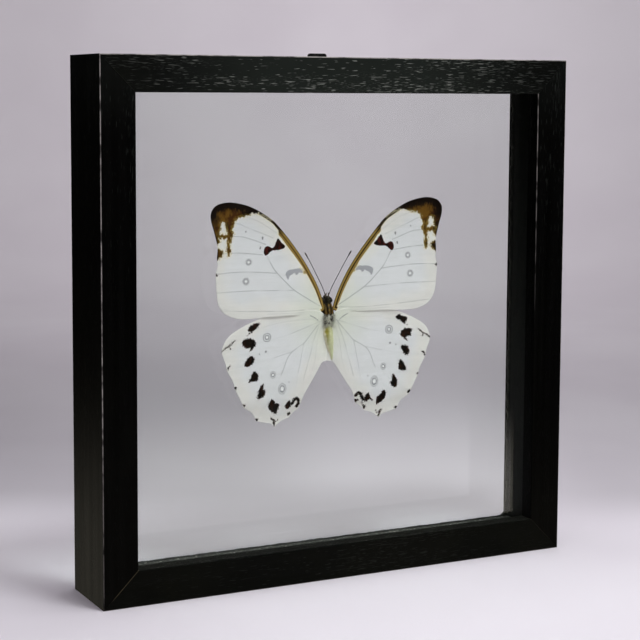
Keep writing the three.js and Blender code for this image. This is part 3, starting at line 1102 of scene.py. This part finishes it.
def wingPattern(places, kind, side, outline):
    # Every mark is a distance in millimetres, positive inside it, so the finish can sharpen or fray its edge
    marks = wingPatterns[kind]
    far = np.full(len(places), -9.0)

    def blobs(outlines):
        depth = far.copy()
        for points in outlines:
            depth = np.maximum(depth, insideDepth(smoothCurve(points, 4, True), places))
        return depth

    def rounds(dots):
        depth = far.copy()
        for x, z, radius in dots:
            depth = np.maximum(depth, radius - np.hypot(places[:, 0] - x, places[:, 1] - z))
        return depth

    def strokes(lines):
        depth = far.copy()
        for points, halfWidth in lines:
            depth = np.maximum(depth, halfWidth - distanceTo(smoothCurve(points, 4, False), places))
        return depth

    layers = {"rim": distanceTo(outline, places, closed=True)}
    layers["vein"], layers["veinStrength"] = veinField(marks, places)
    if kind == "fore":
        layers["spot"] = rounds(marks["dots"])
        layers["freckle"] = rounds(marks["freckles"])
        layers["apex"] = blobs(marks["apex"])
        layers["bar"] = blobs([marks["bar"]])
        layers["hook"] = blobs([marks["hook"]])
        bandWidth = np.interp(places[:, 1], marks["bandHeights"], marks["bandWidth"][side])
        leading = np.maximum(blobs([marks["costa"]]), blobs([marks["leadingEdge"]]) + 0.4)
        layers["costa"] = np.minimum(leading, bandWidth - layers["rim"])
        layers["costa"] = np.maximum(layers["costa"], blobs([marks["costaNub"]]))
    else:
        own = marks[side]
        spots = np.maximum(blobs(own["spots"]), strokes(own["strokes"]))
        spots = np.maximum(spots, rounds(own["dots"] + marks["edgeDots"]))
        layers["spot"] = np.maximum(spots, strokes(marks["edgeStrokes"]))
        layers["freckle"] = rounds(marks["smudges"])
    return layers


def buildWing(kind, side, finish):
    way = -1 if side == "left" else 1
    rawOutline, depthRule = (foreOutline, foreDepth) if kind == "fore" else (hindOutline, hindDepth)
    outline = smoothCurve(rawOutline, wing["curveSteps"], True)
    bm = bmesh.new()
    bm.faces.new([bm.verts.new((x, 0, z)) for x, z in outline])
    for axis, direction in ((0, (1, 0, 0)), (1, (0, 0, 1))):
        cut = outline[:, axis].min() + wing["cell"] / 2
        while cut < outline[:, axis].max():
            bmesh.ops.bisect_plane(
                bm, geom=bm.verts[:] + bm.edges[:] + bm.faces[:], dist=1e-4,
                plane_co=Vector(direction) * cut, plane_no=direction,
            )
            cut += wing["cell"]
    places = np.array([(v.co.x, v.co.z) for v in bm.verts])
    nearest, strength = veinField(wingPatterns[kind], places)
    veins = strength * np.exp(-((nearest / wing["veinWidth"]) ** 2))
    depth = depthRule(places[:, 0], places[:, 1])
    for v, behind, vein in zip(bm.verts, depth, veins):
        v.co.y = behind + rippleAt(v.co.x, v.co.z, way, wing["rippleSeed"][kind]) - wing["veinRise"] * vein
    bmesh.ops.recalc_face_normals(bm, faces=bm.faces[:])
    if sum(f.normal.y for f in bm.faces) > 0:
        bmesh.ops.reverse_faces(bm, faces=bm.faces[:])
    upper = bm.verts.layers.float.new("upper")
    for v in bm.verts:
        v[upper] = 1.0
    grown = bmesh.ops.solidify(bm, geom=bm.faces[:], thickness=wing["thickness"])
    for v in grown["geom"]:
        if isinstance(v, bmesh.types.BMVert):
            v[upper] = 0.0
    place = Matrix.Translation((specimenX, wingPlaneY, 0)) @ Matrix.Diagonal((way * mm, mm, mm, 1))
    bmesh.ops.transform(bm, matrix=place, verts=bm.verts[:])
    bmesh.ops.recalc_face_normals(bm, faces=bm.faces[:])
    piece = finishPiece(f"{side}_{kind}wing", bm, [finish], [f"{kind}wing_{side}"])
    mesh = piece.data
    corners = np.empty(len(mesh.vertices) * 3)
    mesh.vertices.foreach_get("co", corners)
    corners = corners.reshape(-1, 3)
    flat = np.stack([(corners[:, 0] - specimenX) * way / mm, corners[:, 2] / mm], axis=1)
    for name, values in wingPattern(flat, kind, side, outline).items():
        layer = mesh.attributes.new(name, "FLOAT", "POINT")
        layer.data.foreach_set("value", values.astype(np.float32))


def wingGround(place):
    # White scales: bluish in the middle of the wing, creamy towards its edge, greenish by the body
    spot = parts(place)
    across = abs(spot["X"] - specimenX)
    rise = spot["Z"] - 0.127
    fromBody = calc("SQRT", across * across + rise * rise)
    rim = attribute("rim")
    drift = (cloud(place, 3.0, 0.55, 85.0) - 0.5) * 14.0
    creamy = fade(rim + drift, 11.0, 2.0)
    ground = blend(creamy, wingTints["middle"], wingTints["margin"])
    nearBody = fade(fromBody, 0.03, 0.004)
    return blend(nearBody * 0.75, ground, wingTints["root"])


wingTints = {
    "middle": tint(236, 237, 240),
    "margin": tint(240, 238, 234),
    "root": tint(226, 231, 214),
    "edgeLine": tint(246, 245, 240),
    "pale": tint(250, 250, 250),
    "vein": tint(112, 122, 120),
    "showThrough": tint(104, 108, 112),
    "hook": tint(160, 161, 168),
    "freckle": tint(70, 78, 80),
    "cream": tint(240, 230, 192),
    "black": tint(12, 8, 4),
    "warmBlack": tint(44, 20, 6),
    "spotFringe": tint(88, 60, 38),
    "redBrown": tint(70, 18, 10),
    "rimBrown": tint(20, 9, 2),
    "midBrown": tint(72, 40, 7),
    "gold": tint(112, 78, 22),
    "olive": tint(134, 112, 44),
    "costaRim": tint(62, 48, 22),
    "costaGold": tint(164, 134, 68),
    "costaBrown": tint(104, 78, 30),
    "costaPale": tint(184, 168, 118),
    "costaLine": tint(26, 16, 4),
    "underRing": tint(120, 100, 62),
    "underMark": tint(96, 76, 44),
}


def costaColour(rim, height, rightSide, blotch):
    # The leading edge's band is a bundle of stout veins, gold and brown with a dark line between them
    bands = colourRamp(
        rim / 3.2,
        [
            (0.0, wingTints["costaRim"]), (0.08, wingTints["costaRim"]), (0.14, wingTints["costaGold"]),
            (0.34, wingTints["costaGold"]), (0.42, wingTints["costaBrown"]),
            (0.56, wingTints["costaBrown"]), (0.62, wingTints["costaGold"]), (0.72, wingTints["costaGold"]),
            (0.8, wingTints["costaBrown"]), (0.88, wingTints["costaPale"]), (1.0, wingTints["costaPale"]),
        ],
    )
    band = blend(fade(blotch, 0.4, 0.6, 0.0, 0.35), bands, wingTints["olive"])
    fromLine = abs(rim - 1.45)
    line = fade(fromLine, 0.45, 0.2) * fade(rightSide, 0.0, 1.0, 0.45, 1.0)
    band = blend(line, band, wingTints["costaLine"])
    return blend(fade(height, 0.166, 0.17, 0.0, 0.95), band, wingTints["rimBrown"])


def apexColour(place, rim, height, upper, frayed, colour):
    # The tip: near black along its rim, mottled brown and gold within, olive and ragged where it ends
    streaked = cloud(stretch(place, (900, 900, 260)), 3.0, 0.7) - 0.5
    mottle = cloud(stretch(place, (210, 210, 130)), 4.0, 0.7)
    patches = cloud(stretch(place, (180, 180, 130)), 4.0, 0.65)
    wander = streaked * 3.4 + frayed * 3.4
    edge = attribute("apex") + 0.45 + wander
    brown = blend(fade(mottle, 0.46, 0.58), wingTints["midBrown"], wingTints["gold"])
    brown = blend(fade(patches, 0.5, 0.6, 0.0, 0.85), brown, wingTints["rimBrown"])
    brown = blend(fade(edge, 1.5, 0.2, 0.0, 0.85), brown, wingTints["olive"])
    fromRim = rim + streaked * 7.0
    leading = fade(fromRim, 5.0, 2.2) * fade(height, 0.168, 0.177, 0.2, 1.0)
    brown = blend(leading, brown, wingTints["rimBrown"])
    brown = blend(fade(rim, 0.7, 0.25, 0.0, 0.8), brown, wingTints["rimBrown"])
    brown = blend(fade(upper, 0.6, 0.4, 0.0, 0.5), brown, wingTints["gold"])
    colour = blend(fade(edge, -0.9, 0.0, 0.0, 0.6), colour, wingTints["cream"])
    return blend(fade(edge, -0.1, 0.2), colour, brown)


def wingScales(kind):
    material, shader, place = newMaterial(f"{kind}wing scales", roughness=0.62, specular=0.08)
    upper = attribute("upper")
    rim = attribute("rim")
    spot = parts(place)
    across = spot["X"] - specimenX
    mirrored = outOf("CombineXYZ", X=abs(across), Z=spot["Z"])[0]
    mirrored = stretch(mirrored, (1 / mm, 1 / mm, 1 / mm))

    def frayedBy(name, millimetres):
        return attribute(name) + frayed * millimetres

    frayed = cloud(place, 3.0, 0.75, 1150.0) - 0.5
    blotch = cloud(stretch(place, (620, 620, 330)), 3.0, 0.7)
    colour = wingGround(place)
    # Painted shade: streaks along the pleats between the veins are darkened, as folds would shade them.
    # Scales are rubbed thin here and there
    pleatShade = cloud(stretch(place, (60, 60, 620)), 2.0, 0.55)
    colour = blend(fade(pleatShade, 0.35, 0.7, 0.0, 0.16), colour, tint(205, 208, 204))
    thin = fade(cloud(place, 4.0, 0.65, 240.0), 0.4, 0.75, 0.0, 0.14)
    colour = blend(thin, colour, tint(204, 206, 202))
    broken = fade(cloud(place, 2.0, 0.5, 160.0), 0.3, 0.55, 0.3, 1.0)
    vein = fade(attribute("vein"), 0.42, 0.0) * attribute("veinStrength")
    vein = vein * broken * 0.75
    colour = blend(vein, colour, wingTints["vein"])
    patchy = fade(cloud(place, 2.0, 0.6, 1500.0), 0.3, 0.6, 0.7, 1.0)
    ringTint = blend(upper, wingTints["underRing"], wingTints["showThrough"])
    for x, z, radius, tall, inner, thickness, outer in wingPatterns[kind]["rings"]:
        ring = useGroup(
            eyespot, Vector=mirrored, Centre=(x, 0, z), Radius=radius, Tall=tall, Inner=inner,
            Thickness=thickness, Outer=outer,
        )
        colour = blend(ring["Middle"], colour, wingTints["pale"])
        dark = ring["Circles"] * patchy * (0.65 if kind == "fore" else 1.0)
        colour = blend(dark, colour, ringTint)
    colour = blend(fade(frayedBy("freckle", 0.4), -0.25, 0.2, 0.0, 0.7), colour, wingTints["freckle"])
    if kind == "fore":
        hook = fade(frayedBy("hook", 1.5), -0.12, 0.12, 0.0, 0.85)
        colour = blend(hook, colour, blend(upper, wingTints["underMark"], wingTints["hook"]))
        costa = frayedBy("costa", 0.5)
        colour = blend(fade(costa, -0.7, -0.1, 0.0, 0.7), colour, wingTints["cream"])
        band = costaColour(rim, spot["Z"], fade(across, -0.001, 0.001), blotch)
        colour = blend(fade(costa, -0.12, 0.12), colour, band)
        colour = apexColour(place, rim, spot["Z"], upper, frayed, colour)
        barTint = blend(fade(blotch, 0.4, 0.62), wingTints["black"], wingTints["redBrown"])
        barTint = blend(upper, wingTints["underMark"], barTint)
        colour = blend(fade(frayedBy("bar", 1.1), -0.1, 0.12), colour, barTint)
    marked = frayedBy("spot", 3.0)
    spotTint = blend(fade(blotch, 0.44, 0.68), wingTints["black"], wingTints["warmBlack"])
    spotTint = blend(upper, wingTints["underMark"], spotTint)
    colour = blend(fade(marked, -0.3, 0.0, 0.0, 0.5), colour, wingTints["spotFringe"])
    colour = blend(fade(marked, -0.06, 0.12), colour, spotTint)
    if kind == "hind":
        edge = fade(rim, 0.5, 0.1, 0.0, 0.8) * fade(marked, 0.1, -0.2)
        colour = blend(edge, colour, wingTints["edgeLine"])
    dress(shader, colour=colour)
    # Rows of minute scales, finer than the eye quite separates
    scales = cellsAt(stretch(place, (9000, 9000, 6200)), 1.0)["Distance"]
    fold = cloud(stretch(place, (90, 90, 260)), 3.0, 0.55)
    relieved = scales * 0.12 + fold
    dress(shader, normal=relief(relieved, 0.00016, 0.5), roughness=fade(fold, 0.3, 0.7, 0.5, 0.7))
    return material


def buildWings():
    for kind in ("fore", "hind"):
        finish = wingScales(kind)
        for side in ("left", "right"):
            buildWing(kind, side, finish)


buildWings()
print("wings done")


# Body: head, thorax and abdomen with their fur, eyes, palps, legs and coiled tongue

body = {
    # z, radius, depth of the axis behind the wings' plane
    "profile": [
        (103.2, 0.05, 1.9), (103.9, 0.6, 2.0), (105.6, 1.2, 2.4), (108.4, 1.8, 2.8), (112, 2.6, 3.1),
        (116, 3.1, 3.05), (119, 3.1, 3), (120.6, 2.6, 2.8), (121.8, 2.5, 2.6), (123.6, 2.8, 2.4),
        (126.6, 3.05, 2.3), (129, 2.9, 2.4), (130.6, 2.5, 2.6), (131.3, 2.2, 2.7), (132.2, 2.25, 2.8),
        (133.3, 2.35, 2.8), (134.4, 2, 2.8), (135.1, 1.0, 2.7), (135.4, 0.05, 2.7),
    ],
    "waist": 120.4,
    "firstSegment": 102.8,
    "segment": 2.0,
    "rings": 170,
    "eye": (1.9, 2.5, 133.2, 1.3),
    "tipLean": 2.6,
    "sides": 40,
}


def bodyAt(z):
    rows = body["profile"]
    heights = [row[0] for row in rows]
    return np.interp(z, heights, [row[1] for row in rows]), np.interp(z, heights, [row[2] for row in rows])


def leanAt(z):
    # The dried abdomen has turned a little to one side
    return body["tipLean"] * float(smoothStep(121, 104, z))


def toFrame(x, depth, z):
    return Vector((specimenX + x * mm, wingPlaneY + depth * mm, z * mm))


def bodyChitin():
    material, shader, place = newMaterial("body scales", specular=0.12)
    spot = parts(place)
    height = spot["Z"]
    tone = cloud(place, 3.0, 0.65, 900.0)
    wobble = height + (tone - 0.5) * 0.003
    ramp = colourRamp(
        fade(wobble, 0.1025, 0.137),
        [
            (0.0, tint(206, 206, 178)), (0.2, tint(186, 184, 128)), (0.4, tint(172, 164, 66)),
            (0.5, tint(160, 154, 72)), (0.56, tint(184, 182, 158)), (0.68, tint(160, 154, 130)),
            (0.8, tint(70, 48, 22)), (0.87, tint(16, 12, 9)),
        ],
    )
    scaly = fade(cloud(stretch(place, (5200, 5200, 2600)), 2.0, 0.6), 0.35, 0.7)
    # Pale scales cover the abdomen's right side, and are rubbed off its left
    covered = fade(spot["X"], specimenX - 0.0008, specimenX + 0.0011)
    covered = covered * fade(wobble, 0.1222, 0.1208, 0.0, 0.85)
    base = blend(covered, ramp, tint(230, 234, 190))
    # Painted highlight: the abdomen's left-facing side, below the waist, is painted a pale cream line
    leftward = parts(outOf("NewGeometry")["Normal"])["X"]
    leftEdgeHighlight = fade(leftward, -0.5, -0.72) * fade(height, 0.1215, 0.1205)
    base = blend(leftEdgeHighlight, base, tint(252, 246, 220))
    base = blend(scaly * 0.2, base, tint(150, 146, 110))
    dress(shader, colour=base, roughness=fade(scaly, 0.0, 1.0, 0.45, 0.7), normal=relief(scaly, 0.00008, 0.8))
    return material


def eyeSurface():
    material, shader, place = newMaterial("eye facets", specular=0.5, coat=0.4, coatRoughness=0.12)
    facets = cellsAt(place, 9000.0)["Distance"]
    dress(
        shader, colour=blend(fade(facets, 0.2, 0.7), tint(34, 22, 14), tint(16, 11, 9)),
        roughness=fade(facets, 0.2, 0.8, 0.25, 0.45), normal=relief(facets, 0.00002, 0.6),
    )
    return material


def furStrands():
    material, shader, place = newMaterial("fur strands", roughness=0.6, specular=0.04)
    ramp = colourRamp(
        attribute("furTone"),
        [
            (0.0, tint(10, 8, 6)), (0.2, tint(34, 22, 12)), (0.4, tint(164, 126, 62)),
            (0.55, tint(172, 164, 72)), (0.75, tint(226, 227, 200)), (1.0, tint(255, 255, 240)),
        ],
    )
    mixed = fade(cloud(place, 2.0, 0.5, 1500.0), 0.3, 0.7, 0.0, 0.04)
    dress(shader, colour=blend(mixed, ramp, tint(70, 58, 38)))
    # The strands take the light as one soft coat, facing away from the body's axis
    axis = (specimenX, wingPlaneY + 0.0026, 0.0)
    away = stretch(vectorCalc("SUBTRACT", place, axis), (1, 1, 0))
    own = stretch(outOf("NewGeometry")["Normal"], (mm, mm, mm))
    dress(shader, normal=vectorCalc("NORMALIZE", vectorCalc("ADD", away, own)))
    return material


legs = {
    # hip, knee, ankle and foot: x, depth, z, folded flat under the body
    "places": [
        [(1.2, 4.9, 128), (3.4, 5.9, 130.4), (2.2, 6.5, 124.4), (2.9, 6.6, 119.6)],
        [(1.3, 4.9, 125), (4.1, 5.8, 126.6), (3.1, 6.5, 119.8), (4.0, 6.6, 114.2)],
        [(1.2, 4.6, 123), (3.2, 5.6, 121.4), (2.6, 6.4, 113.8), (3.2, 6.6, 108.8)],
    ],
    "radii": [0.42, 0.34, 0.22, 0.1],
    "ringsPerLimb": 6,
}


mouth = {
    # x, depth, z
    "palp": [(0.6, 2.4, 134.4), (0.65, 2.1, 135.8), (0.5, 2, 137.2)],
    "palpRadii": [0.42, 0.4, 0.12],
    # depth and z of the coil's middle, its inner radius, growth per radian, turns and thickness
    "tongue": (5.1, 134.6, 0.35, 0.055, 2.6, 0.11),
}


def buildBody():
    legHorn = mottledFinish(
        "leg horn", 1400.0, (0.35, 0.65), (tint(60, 46, 30), tint(112, 96, 72)), (0.4, 0.65), "Fine", 0.00002,
        0.6, specular=0.4,
    )
    bm = bmesh.new()
    profile = []
    for z in np.linspace(body["profile"][0][0], body["profile"][-1][0], body["rings"]):
        radius = bodyAt(z)[0]
        if z < body["waist"]:
            # The abdomen is a row of overlapping rings
            done = ((z - body["firstSegment"]) / body["segment"]) % 1
            radius *= 0.95 + 0.07 * done**0.5 if 0.05 < done else 0.93
        profile.append((radius, z))
    spinProfile(bm, profile, body["sides"], 0)
    bmesh.ops.holes_fill(bm, edges=[e for e in bm.edges if e.is_boundary])
    for v in bm.verts:
        radius, depth = bodyAt(v.co.z)
        lump = 1 + 0.06 * noise.noise(Vector((v.co.x * 0.9, v.co.y * 0.9, v.co.z * 0.9)))
        v.co = toFrame(v.co.x * lump + leanAt(v.co.z), depth + v.co.y * lump, v.co.z)
    for way in (-1, 1):
        x, depth, z, radius = body["eye"]
        shape = Matrix.Diagonal((0.85 * radius * mm, radius * mm, radius * mm, 1))
        spot = Matrix.Translation(toFrame(way * x, depth, z)) @ shape
        eye = bmesh.ops.create_uvsphere(bm, u_segments=24, v_segments=16, radius=1, matrix=spot)
        for face in {f for v in eye["verts"] for f in v.link_faces}:
            face.material_index = 1
        # Palps point forward beside the tongue
        palp = smoothCurve([(way * x0, d0, z0) for x0, d0, z0 in mouth["palp"]], 4, False)
        tube(bm, [toFrame(*p) for p in palp], np.interp(range(9), [0, 3, 8], mouth["palpRadii"]) * mm, 8, 2)
        for joints in legs["places"]:
            places = smoothCurve([(way * x0, d0, z0) for x0, d0, z0 in joints], legs["ringsPerLimb"], False)
            radii = np.interp(np.linspace(0, 3, len(places)), range(4), legs["radii"]) * mm
            tube(bm, [toFrame(*p) for p in places], radii, 8, 2)
    # The tongue, coiled like a watch spring under the head
    depth, height, start, growth, turns, thickness = mouth["tongue"]
    bends = [(a, start + growth * a) for a in np.linspace(0, turns * 2 * math.pi, 60)]
    coil = [toFrame(0.1, depth + r * math.cos(a), height + r * math.sin(a)) for a, r in bends]
    tube(bm, coil, [thickness * mm] * len(coil), 6, 2)
    bmesh.ops.recalc_face_normals(bm, faces=bm.faces[:])
    finishes = [bodyChitin(), eyeSurface(), legHorn]
    finishPiece("butterfly_trunk", bm, finishes, ["butterfly_body"])


fur = {
    # name: count, z range, length range, thickness, how far it stands up
    "thorax": (4600, (121.4, 132.0), (0.7, 1.5), 0.07, 0.32),
    "head": (1300, (132.2, 135.3), (0.3, 0.7), 0.05, 0.6),
    "abdomen": (1500, (103.6, 121), (0.3, 0.7), 0.04, 0.2),
    "wingRoots": (700, (120, 126.6), (1.2, 2.8), 0.05, 0.8),
    "batch": 400,
    # x, z, half width and half height of the black tufts on the pale thorax
    "darkTufts": [
        (-1.7, 127.3, 0.9, 1.5), (1.5, 124.8, 1.3, 1.5), (-1.6, 123, 0.8, 1.2), (0.1, 122.6, 0.6, 0.8),
        (-2.6, 125, 0.6, 0.7), (2.6, 127.6, 0.6, 1.0), (0.5, 126.8, 0.4, 0.7),
    ],
}


def furToneAt(part, x, z, dice):
    if part == "abdomen":
        return 0.54 + 0.36 * min(1, max(0, (x + 0.7) / 1.4)) + 0.06 * dice
    if part == "wingRoots":
        return 0.78 + 0.2 * dice if dice > 0.12 else 0.1
    if part == "head":
        return 0.95 if dice > 0.95 else 0.1 * dice
    if z > 127.2:
        # Golden brown with dark stripes between
        stripe = 0.5 - 0.5 * math.cos(2 * math.pi * x / 1.6)
        return 0.42 - 0.36 * stripe + 0.05 * dice
    for tuftX, tuftZ, wide, tall in fur["darkTufts"]:
        apart = ((x - tuftX) / wide) ** 2 + ((z - tuftZ) / tall) ** 2
        if apart < 0.5 + 0.6 * dice:
            return 0.05 * dice
    return 0.88 + 0.12 * dice


def buildFur():
    dice = random.Random(41)
    finish = furStrands()
    coat = bmesh.new()
    for part in ("thorax", "head", "abdomen", "wingRoots"):
        count, (low, high), (short, long), thickness, stand = fur[part]
        for first in range(0, count, fur["batch"]):
            tuft = bmesh.new()
            tone = tuft.verts.layers.float.new("furTone")
            for _ in range(min(fur["batch"], count - first)):
                z = dice.uniform(low, high)
                angle = dice.uniform(0, 2 * math.pi)
                radius, depth = bodyAt(z)
                out = Vector((math.cos(angle), math.sin(angle), 0))
                root = toFrame(out.x * radius * 0.97 + leanAt(z), depth + out.y * radius * 0.97, z)
                sweep = Vector((dice.gauss(0, 0.22), dice.gauss(0, 0.22), -1 if part != "head" else 0.5))
                if part == "wingRoots":
                    # Long pale hairs spread over the wings from the thorax's sides
                    way = math.copysign(1, out.x)
                    out = Vector((way, -0.45, 0)).normalized()
                    sweep = Vector((0, 0, dice.gauss(-0.6, 1.1)))
                lean = (out * stand + sweep * (1 - stand)).normalized()
                length = dice.uniform(short, long)
                turn = lean.to_track_quat("Z", "X").to_matrix().to_4x4()
                middle = root + lean * (length / 2) * mm
                strand = bmesh.ops.create_cone(
                    tuft, cap_ends=True, segments=3, radius1=thickness * mm, radius2=0.008 * mm,
                    depth=length * mm, matrix=Matrix.Translation(middle) @ turn,
                )
                shade = furToneAt(part, out.x * radius, z, dice.random())
                for v in strand["verts"]:
                    v[tone] = shade
            addTo(coat, tuft)
    finishPiece("body_fur", coat, [finish], [])


antenna = {
    # x, depth, z
    "path": [(1, 2.3, 136.2), (2.9, 2.1, 140.4), (5.9, 1.8, 145.8), (9.2, 1.5, 151.6), (12.9, 1.2, 157.6)],
    # radii at these parts of the length
    "along": [0, 0.03, 0.1, 0.84, 0.93, 0.985, 1],
    "radii": [0.3, 0.26, 0.17, 0.17, 0.34, 0.28, 0.06],
    "joints": 42,
    "jointSwell": 0.08,
    "sides": 10,
    "stepsPerSpan": 22,
}


def buildAntennae():
    material, shader, place = newMaterial("antenna horn", specular=0.4)
    height = parts(place)["Z"]
    bands = {"wave_type": "BANDS", "bands_direction": "Z"}
    rings = outOf("TexWave", bands, Vector=place, Scale=700.0)["Fac"]
    tip = fade(height, 0.1555, 0.1572)
    ringed = blend(fade(rings, 0.4, 0.8), tint(24, 20, 24), tint(62, 54, 58))
    dress(shader, colour=blend(tip, ringed, tint(52, 36, 22)), roughness=fade(rings, 0.2, 0.8, 0.4, 0.6))
    for side, way in (("left", -1), ("right", 1)):
        path = [(way * x, depth, z) for x, depth, z in antenna["path"]]
        line = smoothCurve(path, antenna["stepsPerSpan"], False)
        done = np.linspace(0, 1, len(line))
        radii = np.interp(done, antenna["along"], antenna["radii"])
        joints = 1 + antenna["jointSwell"] * np.sin(done * 2 * math.pi * antenna["joints"])
        bm = bmesh.new()
        tube(bm, [toFrame(*p) for p in line], radii * joints * mm, antenna["sides"])
        bmesh.ops.recalc_face_normals(bm, faces=bm.faces[:])
        finishPiece(f"{side}_antenna", bm, [material], [f"antenna_{side}"])


glue = {
    # radius and height from the thorax towards the pane
    "profile": [(0, 0), (1.5, 0), (1.42, 0.25), (1.5, 0.5), (1.75, 0.8)],
    "foot": (2.15, 2.3),
    "footEdge": 0.12,
    "uneven": 0.1,
    "sides": 40,
}


def buildGlue():
    material = mottledFinish(
        "dried glue", 700.0, (0.35, 0.65), (tint(206, 204, 188), tint(226, 224, 210)), None, "Broad",
        0.0002, 0.6, roughness=0.25, ior=1.46, specular=0.5, subsurface=0.4, subsurfaceScale=0.001,
    )
    low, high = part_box("glue_drop")
    middle = (low + high) / 2
    deep = (high.y - low.y) / mm
    narrow, wide = glue["foot"]
    bm = bmesh.new()
    foot = [(narrow, deep - glue["footEdge"]), (wide, deep), (0, deep)]
    spinProfile(bm, glue["profile"] + foot, glue["sides"])
    for v in bm.verts:
        spread = 1 - glue["uneven"] * abs(noise.noise(Vector((v.co.x, v.co.y, 0))))
        v.co = Vector((middle.x + v.co.x * spread * mm, low.y + v.co.z * mm, middle.z + v.co.y * spread * mm))
    bmesh.ops.recalc_face_normals(bm, faces=bm.faces[:])
    finishPiece("glue_blob", bm, [material], ["glue_drop"])


buildBody()
buildFur()
buildAntennae()
buildGlue()
print("body, fur, antennae and glue done")
